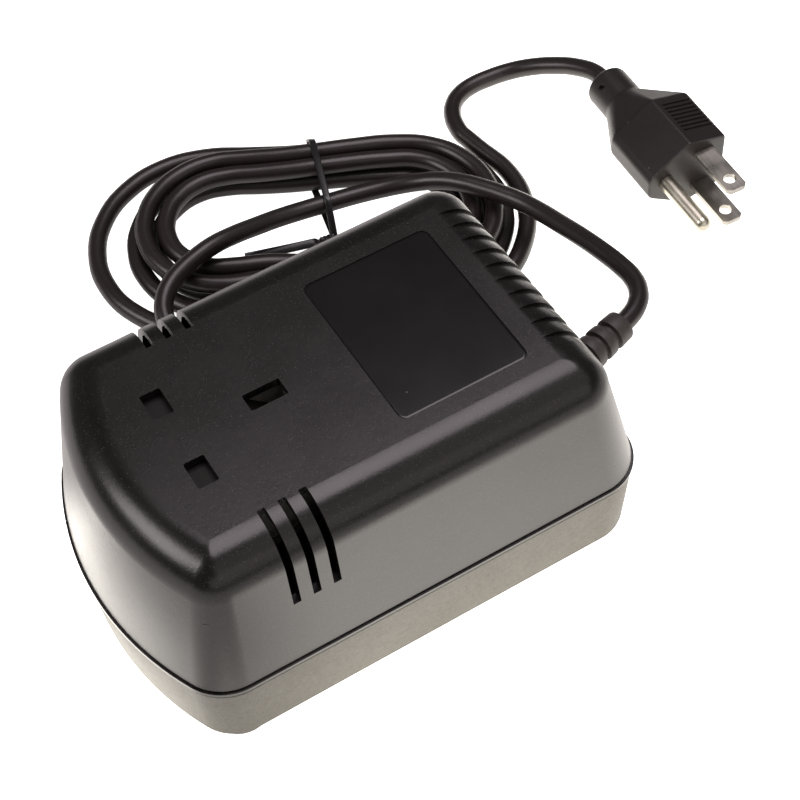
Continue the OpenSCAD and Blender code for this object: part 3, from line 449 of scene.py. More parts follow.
def gripCutters():
    # saw-tooth scallops: a steep side, then a floor that rises back to the surface
    s = upperSet
    centre = (topEnd - s["gripIn"], housing["height"] - s["gripDrop"])
    steps = 14
    cutters = []
    for k in range(s["grips"]):
        deepY = (k - (s["grips"] - 1) / 2) * s["gripPitch"] + s["gripPitch"] / 2
        rings = []
        for y, depth in ((deepY, s["gripDepth"]), (deepY - 0.12, s["gripDepth"]),
                         (deepY - s["gripWidth"], -s["gripClear"])):
            ring = []
            for i in range(steps + 1):
                share = i / steps
                a = math.pi / 2 - share * math.radians(s["gripSweep"])
                dip = min(depth, 0) - s["gripClear"]
                if depth > 0 and share < s["gripFade"]:
                    dip = depth * math.sin(math.pi * share / s["gripFade"]) ** 0.6
                r = edgeReach(a, centre) - dip
                ring.append((centre[0] + r * math.cos(a), y, centre[1] + r * math.sin(a)))
            ring += [(topEnd + 10, y, ring[-1][2]), (topEnd + 10, y, housing["height"] + 6),
                     (centre[0], y, housing["height"] + 6)]
            rings.append(ring)
        cutters.append(loft("gripCutter", rings))
    return joined(cutters)


def slotCutter(x, y, length, width):
    return loft("slotCutter", [roundedRect(x, y, length, width, upperSet["slotCorner"], z)
                               for z in (housing["roof"] - 1, housing["height"] + 3)])


def ventCutters():
    cutters = []
    half = upperSet["ventWidth"] / 2
    for side in (-1, 1):
        for k in (-1, 0, 1):
            x = upperSet["ventX"] + k * upperSet["ventPitch"]
            near, far = upperSet["ventIn"], housing["width"]
            lo = (x - half, near if side > 0 else -far, upperSet["ventLow"])
            hi = (x + half, far if side > 0 else -near, housing["height"] + 5)
            cutters.append(block(lo, hi))
    return joined(cutters)


def glandHole():
    radius = housing["neckRadius"] + 0.1
    return loft("gland", [circleX(reliefSet["start"] + x, radius, reliefSet["y"], housing["seam"])
                          for x in (-10, 2)])


def makeUpperShell():
    seam, wall, top = housing["seam"], housing["wall"], housing["height"]
    lean = math.tan(math.radians(housing["upperLean"]))
    out, high = housing["rimOut"], housing["rimHigh"]
    screw = housing["screwRadius"]
    rings = [planRing(inset, housing["roof"] + z) for inset, z in upperSet["ceiling"]]
    rim = ((wall, 0.05), (-out + 0.25, 0.05), (-out, 0.25), (-out, high - 0.2), (-out + 0.2, high),
           (0.45, high + 0.02), (0.5, high + 0.3), ((high + 0.55) * lean, high + 0.42))
    rings += [planRing(inset, seam + up) for inset, up in rim]
    rings += [planRing(inset, z) for inset, z in topEdgeProfile()]
    rings += [planRing(topEdgeProfile()[-1][0] + 0.25, top)]
    shell = loft("upperShell", rings)
    bosses = atScrews("boss", screw + housing["screwWall"], seam + 0.05, upperSet["bossTop"], 24)
    boolean(shell, joined(bosses), "UNION")
    holes = atScrews("screwHole", screw + 0.05, seam - 1, upperSet["holeTop"], 20)
    boolean(shell, joined(holes + [glandHole()]))
    boolean(shell, ventCutters())
    boolean(shell, gripCutters())
    boolean(shell, joined([slotCutter(*slot) for slot in upperSet["slots"]]))
    recess = (upperSet["plateAt"], 0, upperSet["plateLength"] + 0.2, upperSet["plateWidth"] + 0.2,
              upperSet["plateCorner"] + 0.1)
    boolean(shell, loft("recess", [roundedRect(*recess, z) for z in (top - upperSet["plateDeep"], top + 2)]))
    smoothed(shell, 30)
    evened(shell)
    return shell


upperShell = makeUpperShell()
print("upper shell modelled")


# lower shell: feet under the corners, tubes for the case screws
def makeLowerShell():
    seam, wall = housing["seam"], housing["wall"]
    lean = math.tan(math.radians(housing["lowerLean"]))
    base, edge = housing["footHigh"], housing["baseEdge"]
    lip = seam - housing["gapHigh"]
    rings = [planRing(wall + 1.6, housing["floor"]), planRing(wall + 1.35, housing["floor"] + 0.4),
             planRing(wall, seam - 3), planRing(wall, seam - 0.02), planRing(housing["gapIn"], seam - 0.02),
             planRing(housing["gapIn"], lip), planRing(0.15, lip), planRing(0, lip - 0.15)]
    slope = math.radians(housing["lowerLean"])
    middle = (lip - base - edge) * lean + edge / math.cos(slope)
    for i in range(7):
        a = slope + (math.pi / 2 - slope) * i / 6
        rings.append(planRing(middle - edge * math.cos(a), base + edge - edge * math.sin(a)))
    rings.append(planRing(middle + 0.3, base))
    shell = loft("lowerShell", rings)
    feet, heads = [], []
    foot, head = housing["footRadius"], housing["headRadius"] + 0.2
    for x, y in screwPlaces():
        fx, fy = x - math.copysign(housing["footIn"], x), y - math.copysign(housing["footIn"], y)
        feet.append(loft("foot", [circleZ(fx, fy, foot - 0.5, 0), circleZ(fx, fy, foot - 0.15, 0.12),
                                  circleZ(fx, fy, foot, 0.45), circleZ(fx, fy, foot, 1.6)]))
    boolean(shell, joined(feet), "UNION")
    boolean(shell, joined(atScrews("tube", housing["headRadius"] + 2, 2, seam - 0.05, 32)), "UNION")
    for x, y in screwPlaces():
        heads.append(loft("headHole", [circleZ(x, y, head + 1.2, -1), circleZ(x, y, head + 0.2, -0.02),
                                       circleZ(x, y, head, 0.25), circleZ(x, y, head, housing["headSeat"])]))
    boolean(shell, joined(heads))
    shafts = atScrews("shaft", housing["screwRadius"] + 0.2, 10, seam + 1, 20)
    boolean(shell, joined(shafts + [glandHole()]))
    smoothed(shell, 30)
    evened(shell)
    return shell


lowerShell = makeLowerShell()
print("lower shell modelled")


# bare plate in the recess of the top
plateSet = {"thick": 0.3, "edge": 0.05}


def makePlate():
    low = housing["height"] - upperSet["plateDeep"]
    high = low + plateSet["thick"]
    e = plateSet["edge"]
    l, w, c = upperSet["plateLength"], upperSet["plateWidth"], upperSet["plateCorner"]
    profile = ((0, low), (0, high - e), (0.3 * e, high - 0.3 * e), (e, high), (1.2, high))
    plate = loft("barePlate", [roundedRect(upperSet["plateAt"], 0, l - less, w - less, c - less / 2, z, 8)
                               for less, z in profile])
    smoothed(plate, 50)
    return plate


barePlate = makePlate()


# strain relief: ribbed and tapered, drawn to one side by the cord
def makeRelief():
    start, seam, body = reliefSet["start"], housing["seam"], reliefSet["length"] - reliefStep()
    inner = start - 0.45 - housing["wall"]
    neck, flange, collar = housing["neckRadius"], reliefSet["flange"], reliefSet["collar"]
    e = reliefSet["round"]
    front = start + 2 * reliefStep()
    profile = ((inner - 1.9, 3.2), (inner - 1.9, flange), (inner - 0.1, flange), (inner - 0.1, neck),
               (start, neck), (start, collar), (front - 0.3, collar), (front, collar - 0.3))
    root = loft("strainRelief", [circleX(x, r, reliefSet["y"], seam) for x, r in profile])
    pitch = body / reliefSet["rings"]
    slot = pitch * reliefSet["slot"]

    def taper(x):
        return reliefSet["radius"] + (reliefSet["tip"] - reliefSet["radius"]) * x / body

    profile = [(0.05, taper(0))]
    for k in range(reliefSet["rings"]):
        x0 = k * pitch
        last = k == reliefSet["rings"] - 1
        x1 = x0 + pitch - (0 if last else slot)
        if k > 0:
            profile += [(x0, taper(x0) - e), (x0 + 0.3 * e, taper(x0) - 0.3 * e), (x0 + e, taper(x0))]
        profile += [(x1 - e, taper(x1)), (x1 - 0.3 * e, taper(x1) - 0.3 * e), (x1, taper(x1) - e)]
        if not last:
            deep = taper(x1) - reliefSet["slotDepth"]
            profile += [(x1, deep), (x1 + slot, deep)]
    profile += [(body, 3.0), (body - 0.6, 2.75), (body - 2, 2.7)]
    turned = loft("reliefBody", [[reliefPoint(x, a, b) for a, b in circle(r, 48)] for x, r in profile])
    boolean(root, turned, "UNION")
    smoothed(root, 40)
    return root


strainRelief = makeRelief()
print("plate and strain relief modelled")


# wire tie: a flat strap round the far run, twisted at the near side, with a flat tail
tieSet = {"wide": 2, "thick": 0.8, "gap": 0.3, "knot": (-3.5, 3.2), "leadAt": (4.7, 8.3), "slant": 0.15,
          "reach": 12, "vee": 0.6, "veeMost": 5, "twist": 6.5, "lie": 29, "steps": 40,
          "tail": 26, "tailAside": 3.3, "tailDrop": 1.9, "tailHalf": 0.9, "tailFlare": 0.35}


def tieStrands():
    scale = 1 - cordSet["waist"] * drawnIn(cordSet["tieAt"])
    low = cordSet["diameter"] / 2 + cordSet["tieLift"]
    inner = cordSet["radius"] - cordSet["step"] * (cordSet["loopsTop"] - 0.5)
    step, layer = cordSet["step"], cordSet["layer"]
    r = cordSet["diameter"] / 2
    return [(inner * scale, low, r), ((inner + 2 * step) * scale, low, r), (inner * scale, low + layer, r),
            ((inner + step) * scale, low + layer, r), (*tieSet["leadAt"], r), (*tieSet["knot"], -0.1)]


def strapRing(u, over, count=72):
    # the strap's outline round its strands, one point for each direction
    points = []
    for n in circle(1, count):
        v, z, r = max(tieStrands(), key=lambda s: s[0] * n[0] + s[1] * n[1] + s[2])
        r += tieSet["gap"] + over
        back = v + r * n[0] - tieSet["knot"][0]
        under = eased(0.5 - n[1])
        upper = tieSet["slant"] * (tieSet["reach"] - back)
        lower = tieSet["slant"] * tieSet["reach"] - min(tieSet["vee"] * back, tieSet["veeMost"])
        slip = upper * (1 - under) + lower * under
        points.append(hankFrame(u + slip, v + r * n[0], z + r * n[1]))
    return points


def makeTie():
    u, w, t = cordSet["tieAt"], tieSet["wide"] / 2, tieSet["thick"]
    section = ((-w, t - 0.25), (-w + 0.1, t - 0.07), (-w + 0.3, t), (w - 0.3, t), (w - 0.1, t - 0.07),
               (w, t - 0.25), (w, 0), (-w, 0))
    strap = sleeve("wireTie", [strapRing(u + aside, over) for aside, over in section])
    kv, kz = tieSet["knot"]
    u += tieSet["slant"] * tieSet["reach"]
    tails = []
    for strand, length in ((0, tieSet["tail"]), (1, tieSet["twist"] + 0.6)):
        rings = []
        for i in range(tieSet["steps"] + 1):
            way = length * i / tieSet["steps"]
            wind = eased(way / tieSet["twist"])
            turn = math.radians(tieSet["lie"] - 360 * (1 - wind)) + math.pi * strand
            off = 0.7 * (1 - wind) + 0.42 * strand * wind
            share = way / tieSet["tail"]
            v = kv - 0.3 - tieSet["tailAside"] * share ** 0.8 - off * math.sin(turn)
            z = kz - tieSet["tailDrop"] * share ** 0.8 + off * math.cos(turn)
            half = tieSet["tailHalf"] + tieSet["tailFlare"] * wind * (1 - strand)
            section = ((-half, -0.28), (0.15 - half, -0.4), (half - 0.15, -0.4), (half, -0.28), (half, 0.28),
                       (half - 0.15, 0.4), (0.15 - half, 0.4), (-half, 0.28))
            rings.append([hankFrame(u - way, v + a * math.cos(turn) - b * math.sin(turn),
                                    z + a * math.sin(turn) + b * math.cos(turn)) for a, b in section])
        tails.append(loft("tieTail", rings))
    tie = joined([strap] + tails)
    smoothed(tie, 40)
    return tie


wireTie = makeTie()
print("wire tie modelled")


# moulded plug
def plugRing(y, less=0.0, mix=0.0, neck=None, count=96):
    # rounded outline across the plug, drawn towards the round neck by mix
    s = plugSet
    corners = []
    edge = s["edgeRadius"]
    for side in (-1, 1):
        corners.append((s["flatOut"] - edge, side * (s["flatHeight"] / 2 - edge), edge))
        corners.append((s["ridgeOut"], side * (s["height"] / 2 - edge), edge))
        corners.append((s["roundOut"], side * s["roundHalf"], s["roundRadius"]))
    neck = s["neckRadius"] if neck is None else neck
    points = []
    for i in range(count):
        a = 2 * math.pi * (i + 0.5) / count
        n = (math.cos(a), math.sin(a))
        x, z, r = max(corners, key=lambda c: c[0] * n[0] + c[1] * n[1] + c[2])
        points.append(plugPoint((x + (r - less) * n[0]) * (1 - mix) + neck * n[0] * mix, y,
                                (z + (r - less) * n[1]) * (1 - mix) + neck * n[1] * mix))
    return points


def plugBlock(lo, hi):
    piece = block(lo, hi)
    for corner in piece.data.vertices:
        corner.co = Vector(plugPoint(*(corner.co / mm))) * mm
    return piece


def plugCircle(y, x, radius, count=32):
    return [plugPoint(x + a, y, b) for a, b in circle(radius, count)]


def makePlugBody():
    s = plugSet
    back = s["grip"] + s["shoulder"]
    end = back + s["neck"]
    rings = [plugRing(y, less) for y, less in s["faceEdge"]]
    rings += [plugRing(s["grip"] - 0.4, 0), plugRing(s["grip"] + 0.4, 0.06, 0.03),
              plugRing(back - 0.6, 0, 0.96), plugRing(back + 0.6, 0, 1)]
    rings += [plugRing(end + y, 0, 1, r) for y, r in s["neckEnd"]]
    body = loft("plugBody", rings)
    pitch = (s["grip"] - s["grooveStart"] - 2) / s["grooves"]
    grooves = []
    for k in range(s["grooves"]):
        y = s["grooveStart"] + k * pitch
        grooves.append(plugBlock((s["ridgeOut"] + 1.2, y, -20), (s["flatOut"] + 4, y + 0.5 * pitch, 20)))
    grooves = joined(grooves)
    floor = [plugRing(y, s["grooveDepth"]) for y in (-1, s["grip"] + 1)]
    boolean(grooves, loft("grooveFloor", floor))
    boolean(body, grooves)
    roots = []
    x, half, thick = s["bladeOut"], s["bladeWidth"] / 2 + s["rootGap"], s["bladeThick"] / 2 + s["rootGap"]
    for side in (-1, 1):
        z = side * s["bladeApart"] / 2
        roots.append(plugBlock((x - half, -1, z - thick), (x + half, s["root"], z + thick)))
    pinRoot = s["pinDiameter"] * s["pinRoot"] + s["rootGap"]
    roots.append(loft("pinRoot", [plugCircle(y, s["pinOut"], pinRoot) for y in (-1, s["root"])]))
    boolean(body, joined(roots))
    spot = [(s["dimpleOut"] + a, end - s["dimpleFromEnd"] + b) for a, b in circle(s["dimpleRadius"], 16)]
    boolean(body, loft("dimple", [[plugPoint(x, y, z) for x, y in spot] for z in s["dimpleZ"]]))
    smoothed(body, 28)
    evened(body)
    return body


def makeBlades():
    s = plugSet
    blades = []
    for side in (-1, 1):
        z = side * s["bladeApart"] / 2
        x, half, tip, cut = s["bladeOut"], s["bladeWidth"] / 2, -s["bladeLength"], s["tipCut"]

        def outline(less, height):
            h = half - less
            shape = [(x - h, s["root"]), (x - h, tip + cut), (x - half + cut * 0.75, tip + cut * 0.2 + less),
                     (x - half + cut + 0.2, tip + less), (x + half - cut - 0.2, tip + less),
                     (x + half - cut * 0.75, tip + cut * 0.2 + less), (x + h, tip + cut), (x + h, s["root"])]
            return [plugPoint(a, b, z + height) for a, b in shape]

        t = s["bladeThick"] / 2
        levels = ((0.2, -t), (0.06, -t + 0.06), (0, -t + 0.2), (0, t - 0.2), (0.06, t - 0.06), (0.2, t))
        blade = loft("blade", [outline(less, height) for less, height in levels])
        hole, edge, at = s["bladeHole"] / 2, s["holeEdge"], tip + s["holeFromTip"]
        levels = ((-2, hole + edge), (-t + edge, hole), (t - edge, hole), (t + 0.02, hole + edge),
                  (2, hole + edge))
        rings = [[plugPoint(x + a, at + b, z + h) for a, b in circle(r, 32)] for h, r in levels]
        boolean(blade, loft("bladeHole", rings))
        blades.append(blade)
    piece = joined(blades)
    piece.name = "plugBlades"
    smoothed(piece, 30)
    evened(piece)
    return piece


def makePin():
    s = plugSet
    r = s["pinDiameter"] / 2
    root = s["pinDiameter"] * s["pinRoot"]
    profile = [(s["root"], root), (0.02, root), (0, r - 0.1), (-0.1, r)]
    shank = s["pinLength"] - r
    for i in range(9):
        a = math.radians(86 * i / 8)
        profile.append((-shank - r * math.sin(a), r * math.cos(a)))
    pin = loft("earthPin", [plugCircle(y, s["pinOut"], q, 40) for y, q in profile])
    smoothed(pin, 40)
    return pin


plugBody = makePlugBody()
plugBlades = makeBlades()
earthPin = makePin()
print("plug modelled")


# return spring of the shutter, which shortens as the shutter slides
springSet = {"x": (-51.2, -40.8), "z": 59, "radius": 1.45, "wire": 0.5, "turns": 7, "steps": 16, "sides": 10,
             "keep": 0.355}


def makeSpring():
    s = springSet
    low, high = s["x"]
    count = s["turns"] * s["steps"]
    pitch = (high - low) / (2 * math.pi * s["turns"])
    rings = []
    for i in range(count + 1):
        a = 2 * math.pi * i / s["steps"]
        outward = Vector((0, math.cos(a), math.sin(a)))
        along = Vector((pitch, -s["radius"] * math.sin(a), s["radius"] * math.cos(a))).normalized()
        across = along.cross(outward)
        centre = Vector((low + (high - low) * i / count, 0, s["z"])) + outward * s["radius"]
        rings.append([centre + outward * p + across * q for p, q in circle(s["wire"] / 2, s["sides"])])
    spring = loft("shutterSpring", rings)
    smoothed(spring, 40)
    return spring


shutterSpring = makeSpring()
print("spring modelled")


# shared shader groups
def newGroup(name, inputs, outputs):
    group = bpy.data.node_groups.new(name, "ShaderNodeTree")
    for label, value in inputs:
        socket = group.interface.new_socket(label, in_out="INPUT", socket_type="NodeSocketFloat")
        socket.default_value = value
    for label in outputs:
        group.interface.new_socket(label, in_out="OUTPUT", socket_type="NodeSocketFloat")
    nodes = group.nodes
    return group, nodes.new("NodeGroupInput"), nodes.new("NodeGroupOutput")


def mathNode(tree, operation, first, second):
    node = tree.nodes.new("ShaderNodeMath")
    node.operation = operation
    for socket, value in zip(node.inputs, (first, second)):
        if isinstance(value, (int, float)):
            socket.default_value = value
        else:
            tree.links.new(value, socket)
    return node.outputs[0]


def noiseNode(tree, vector, scale, detail, rough):
    node = tree.nodes.new("ShaderNodeTexNoise")
    node.inputs["Detail"].default_value = detail
    node.inputs["Roughness"].default_value = rough
    tree.links.new(vector, node.inputs["Vector"])
    if isinstance(scale, (int, float)):
        node.inputs["Scale"].default_value = scale
    else:
        tree.links.new(scale, node.inputs["Scale"])
    return node.outputs["Fac"]


def rangeNode(tree, value, low, high, toLow=0.0, toHigh=1.0, smooth=False):
    node = tree.nodes.new("ShaderNodeMapRange")
    if smooth:
        node.interpolation_type = "SMOOTHSTEP"
    for label, number in (("From Min", low), ("From Max", high), ("To Min", toLow), ("To Max", toHigh)):
        node.inputs[label].default_value = number
    tree.links.new(value, node.inputs["Value"])
    return node.outputs[0]


def makeGrainGroup():
    # moulded grain: height for a bump, fine tone and broad cloudiness
    group, inside, outside = newGroup("mouldGrain", [("Fine Scale", 2500), ("Broad Scale", 40)],
                                      ["Height", "Tone", "Cloud"])
    place = group.nodes.new("ShaderNodeTexCoord").outputs["Object"]
    fine = noiseNode(group, place, inside.outputs["Fine Scale"], 3, 0.6)
    lowScale = mathNode(group, "MULTIPLY", inside.outputs["Fine Scale"], 0.37)
    coarse = noiseNode(group, place, lowScale, 2, 0.5)
    broad = noiseNode(group, place, inside.outputs["Broad Scale"], 3, 0.55)
    height = mathNode(group, "ADD", fine, mathNode(group, "MULTIPLY", coarse, 0.7))
    group.links.new(height, outside.inputs["Height"])
    group.links.new(rangeNode(group, height, 0.6, 1.1), outside.inputs["Tone"])
    group.links.new(rangeNode(group, broad, 0.3, 0.7), outside.inputs["Cloud"])
    return group


def makeDustAndGlintGroup():
    # pale specks, one in each cell up to the share that Amount gives: at a small share they are real dust, at
    # the black shell's large share they are painted glints, sparkle painted into the colour
    group, inside, outside = newGroup("dustAndPaintedGlints", [("Scale", 900), ("Amount", 0.1)], ["Mask"])
    place = group.nodes.new("ShaderNodeTexCoord").outputs["Object"]
    cells = group.nodes.new("ShaderNodeTexVoronoi")
    group.links.new(place, cells.inputs["Vector"])
    group.links.new(inside.outputs["Scale"], cells.inputs["Scale"])
    spot = rangeNode(group, cells.outputs["Distance"], 0.22, 0.1)
    split = group.nodes.new("ShaderNodeSeparateColor")
    group.links.new(cells.outputs["Color"], split.inputs[0])
    few = mathNode(group, "LESS_THAN", split.outputs[0], inside.outputs["Amount"])
    group.links.new(mathNode(group, "MULTIPLY", spot, few), outside.inputs["Mask"])
    return group


grainGroup = makeGrainGroup()
dustAndGlintGroup = makeDustAndGlintGroup()


# finishes
def startMaterial(name):
    material = bpy.data.materials.new(name)
    material.use_nodes = True
    tree = material.node_tree
    shader = next(n for n in tree.nodes if n.type == "BSDF_PRINCIPLED")
    return material, tree, shader


def groupNode(tree, group, **values):
    node = tree.nodes.new("ShaderNodeGroup")
    node.node_tree = group
    for label, value in values.items():
        node.inputs[label.replace("_", " ")].default_value = value
    return node


def mixColours(tree, factor, first, second):
    node = tree.nodes.new("ShaderNodeMix")
    node.data_type = "RGBA"
    tree.links.new(factor, node.inputs[0])
    for socket, colour in ((node.inputs[6], first), (node.inputs[7], second)):
        if isinstance(colour, tuple):
            socket.default_value = (*colour, 1)
        else:
            tree.links.new(colour, socket)
    return node.outputs[2]


def bumpNode(tree, shader, height, distance):
    bump = tree.nodes.new("ShaderNodeBump")
    bump.inputs["Strength"].default_value = 1.0
    bump.inputs["Distance"].default_value = distance * mm
    tree.links.new(height, bump.inputs["Height"])
    tree.links.new(bump.outputs["Normal"], shader.inputs["Normal"])


broadScale = 45
dustSet = {"scale": 700, "colour": (0.09, 0.085, 0.075)}
plasticSet = {
    # the black shell's dense pale specks are painted glints, standing in for the sparkle of its textured
    # surface
    "blackShell": {"dark": (0.0018, 0.0012, 0.0010), "pale": (0.0070, 0.0052, 0.0047),
                   "rough": (0.24, 0.30), "fine": 2000, "deep": 0.018, "dustAndPaintedGlint": 0.55,
                   "paintedGlint": (0.066, 0.058, 0.057), "paintedGlintScale": 1700},
    "greyShell": {"dark": (0.088, 0.0830, 0.0693), "pale": (0.1375, 0.1304, 0.1111),
                  "rough": (0.50, 0.58), "fine": 2300, "deep": 0.04, "gloss": 0.25},
    "plateFilm": {"dark": (0.0040, 0.0033, 0.0033), "pale": (0.0056, 0.0048, 0.0048),
                  "rough": (0.17, 0.21), "fine": 3200, "deep": 0.004, "gloss": 0.43, "dustAndPaintedGlint": 0.006},
    "gland": {"dark": (0.039, 0.0315, 0.0293), "pale": (0.058, 0.0488, 0.0458),
              "rough": (0.45, 0.6), "fine": 2200, "deep": 0.015},
    "cordSkin": {"dark": (0.0120, 0.0084, 0.0080), "pale": (0.0180, 0.0130, 0.0124),
                 "rough": (0.30, 0.36), "fine": 1800, "deep": 0.008},
    "tieStrap": {"dark": (0.008, 0.0075, 0.0075), "pale": (0.013, 0.012, 0.012),
                 "rough": (0.24, 0.32), "fine": 1900, "deep": 0.008},
    "plugRubber": {"dark": (0.0095, 0.0066, 0.0062), "pale": (0.0150, 0.0108, 0.0100),
                   "rough": (0.36, 0.45), "fine": 2000, "deep": 0.02, "dustAndPaintedGlint": 0.008},
    "shutterPlate": {"dark": (0.0045, 0.0037, 0.0035), "pale": (0.0080, 0.0067, 0.0063),
                     "rough": (0.42, 0.55), "fine": 2300, "deep": 0.012, "gloss": 0.25, "dustAndPaintedGlint": 0.004},
    "carrierPlastic": {"dark": (0.25, 0.235, 0.21), "pale": (0.34, 0.325, 0.30),
                       "rough": (0.5, 0.6), "fine": 1800, "deep": 0.02},
    "bobbinNylon": {"dark": (0.52, 0.50, 0.42), "pale": (0.62, 0.60, 0.52),
                    "rough": (0.42, 0.52), "fine": 1600, "deep": 0.012},
    "windingFilm": {"dark": (0.42, 0.30, 0.04), "pale": (0.55, 0.42, 0.08),
                    "rough": (0.22, 0.34), "fine": 900, "deep": 0.01},
    "fuseCase": {"dark": (0.55, 0.52, 0.46), "pale": (0.68, 0.65, 0.58),
                 "rough": (0.35, 0.5), "fine": 1500, "deep": 0.01},
    "wireSleeve": {"dark": (0.022, 0.021, 0.021), "pale": (0.032, 0.031, 0.031),
                   "rough": (0.34, 0.45), "fine": 1700, "deep": 0.01}}


def mouldedPlastic(name):
    s = plasticSet[name]
    material, tree, shader = startMaterial(name)
    grain = groupNode(tree, grainGroup, Fine_Scale=s["fine"], Broad_Scale=broadScale)
    colour = mixColours(tree, grain.outputs["Tone"], s["dark"], s["pale"])
    # pale specks mixed into the colour: real dust on most finishes, painted glints on the black shell
    if "dustAndPaintedGlint" in s:
        dustAndPaintedGlint = groupNode(tree, dustAndGlintGroup, Scale=s.get("paintedGlintScale", dustSet["scale"]), Amount=s["dustAndPaintedGlint"])
        colour = mixColours(tree, dustAndPaintedGlint.outputs["Mask"], colour, s.get("paintedGlint", dustSet["colour"]))
    tree.links.new(colour, shader.inputs["Base Color"])
    tree.links.new(rangeNode(tree, grain.outputs["Cloud"], 0, 1, *s["rough"]), shader.inputs["Roughness"])
    shader.inputs["Specular IOR Level"].default_value = s.get("gloss", 0.5)
    bumpNode(tree, shader, grain.outputs["Height"], s["deep"])
    return material


metalSet = {
    "bladeNickel": {"dark": (0.35, 0.335, 0.30), "pale": (0.54, 0.52, 0.47), "rough": (0.26, 0.40),
                    "brush": (900, 70, 900), "deep": 0.004},
    "pinNickel": {"dark": (0.57, 0.54, 0.44), "pale": (0.74, 0.71, 0.60), "rough": (0.27, 0.38),
                  "brush": (900, 60, 900), "deep": 0.003},
    "screwSteel": {"dark": (0.42, 0.42, 0.41), "pale": (0.58, 0.58, 0.57), "rough": (0.25, 0.4),
                   "brush": (400, 400, 400), "deep": 0.004},
    "springSteel": {"dark": (0.40, 0.40, 0.40), "pale": (0.52, 0.52, 0.52), "rough": (0.22, 0.34),
                    "brush": (300, 900, 900), "deep": 0.002},
    "contactBrass": {"dark": (0.55, 0.38, 0.14), "pale": (0.72, 0.53, 0.22), "rough": (0.22, 0.36),
                     "brush": (120, 700, 700), "deep": 0.003},
    "coreSteel": {"dark": (0.16, 0.155, 0.15), "pale": (0.34, 0.33, 0.32), "rough": (0.38, 0.55),
                  "brush": (60, 60, 2000), "deep": 0.03},
    "clampSteel": {"dark": (0.38, 0.37, 0.33), "pale": (0.55, 0.54, 0.49), "rough": (0.28, 0.42),
                   "brush": (200, 600, 600), "deep": 0.004},
    "enamelledWire": {"dark": (0.30, 0.09, 0.03), "pale": (0.62, 0.24, 0.09), "rough": (0.22, 0.36),
                      "brush": (1900, 60, 60), "deep": 0.05}}


def brushedMetal(name):
    # noise stretched along the worked direction
    s = metalSet[name]
    material, tree, shader = startMaterial(name)
    shader.inputs["Metallic"].default_value = 1.0
    place = tree.nodes.new("ShaderNodeTexCoord").outputs["Object"]
    stretch = tree.nodes.new("ShaderNodeMapping")
    stretch.inputs["Scale"].default_value = s["brush"]
    tree.links.new(place, stretch.inputs["Vector"])
    lines = noiseNode(tree, stretch.outputs["Vector"], 1.0, 3, 0.6)
    stain = noiseNode(tree, place, 160, 4, 0.6)
    blend = mathNode(tree, "ADD", mathNode(tree, "MULTIPLY", lines, 0.55),
                     mathNode(tree, "MULTIPLY", stain, 0.45))
    factor = rangeNode(tree, blend, 0.35, 0.65)
    tree.links.new(mixColours(tree, factor, s["dark"], s["pale"]), shader.inputs["Base Color"])
    tree.links.new(rangeNode(tree, stain, 0.3, 0.7, *s["rough"]), shader.inputs["Roughness"])
    bumpNode(tree, shader, lines, s["deep"])
    return material


materials = {name: mouldedPlastic(name) for name in plasticSet}
materials.update({name: brushedMetal(name) for name in metalSet})
print(len(materials), "finishes made")

nodeFinish = {"case_screws": "screwSteel", "socket_carrier": "carrierPlastic", "carrier_screws": "screwSteel",
              "socket_shutter": "shutterPlate", "live_contact": "contactBrass",
              "neutral_contact": "contactBrass", "earth_contact": "contactBrass",
              "transformer_core": "coreSteel", "coil_bobbin": "bobbinNylon",
              "inner_winding": "enamelledWire", "outer_winding": "enamelledWire",
              "winding_tape": "windingFilm", "thermal_fuse": "fuseCase", "core_clamps": "clampSteel",
              "clamp_screws": "screwSteel", "supply_leads": "wireSleeve", "output_leads": "wireSleeve"}
for nodeName, finish in nodeFinish.items():
    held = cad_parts[nodeName].data.materials
    held.clear()
    held.append(materials[finish])

pieceTable = [(upperShell, "blackShell", "black_shell", ["upper_shell"]),
              (lowerShell, "greyShell", "grey_shell", ["lower_shell"]),
              (barePlate, "plateFilm", "plate_film", ["rating_plate"]),
              (strainRelief, "gland", "cord_pvc", ["strain_relief"]),
              (mainsCord, "cordSkin", "cord_pvc", ["cord_lead", "cord_hank", "cord_tail"]),
              (wireTie, "tieStrap", "tie_plastic", ["cord_tie"]),
              (plugBody, "plugRubber", "plug_pvc", ["plug_body"]),
              (plugBlades, "bladeNickel", "blade_nickel", ["plug_blades"]),
              (earthPin, "pinNickel", "pin_nickel", ["plug_earth_pin"]),
              (shutterSpring, "springSteel", "spring_steel", ["shutter_spring"])]
for piece, finish, slot, nodes in pieceTable:
    piece.data.materials.clear()
    piece.data.materials.append(materials[finish])
    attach(piece, "housing")
    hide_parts(*nodes)
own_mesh(shutterSpring)
print("pieces dressed")


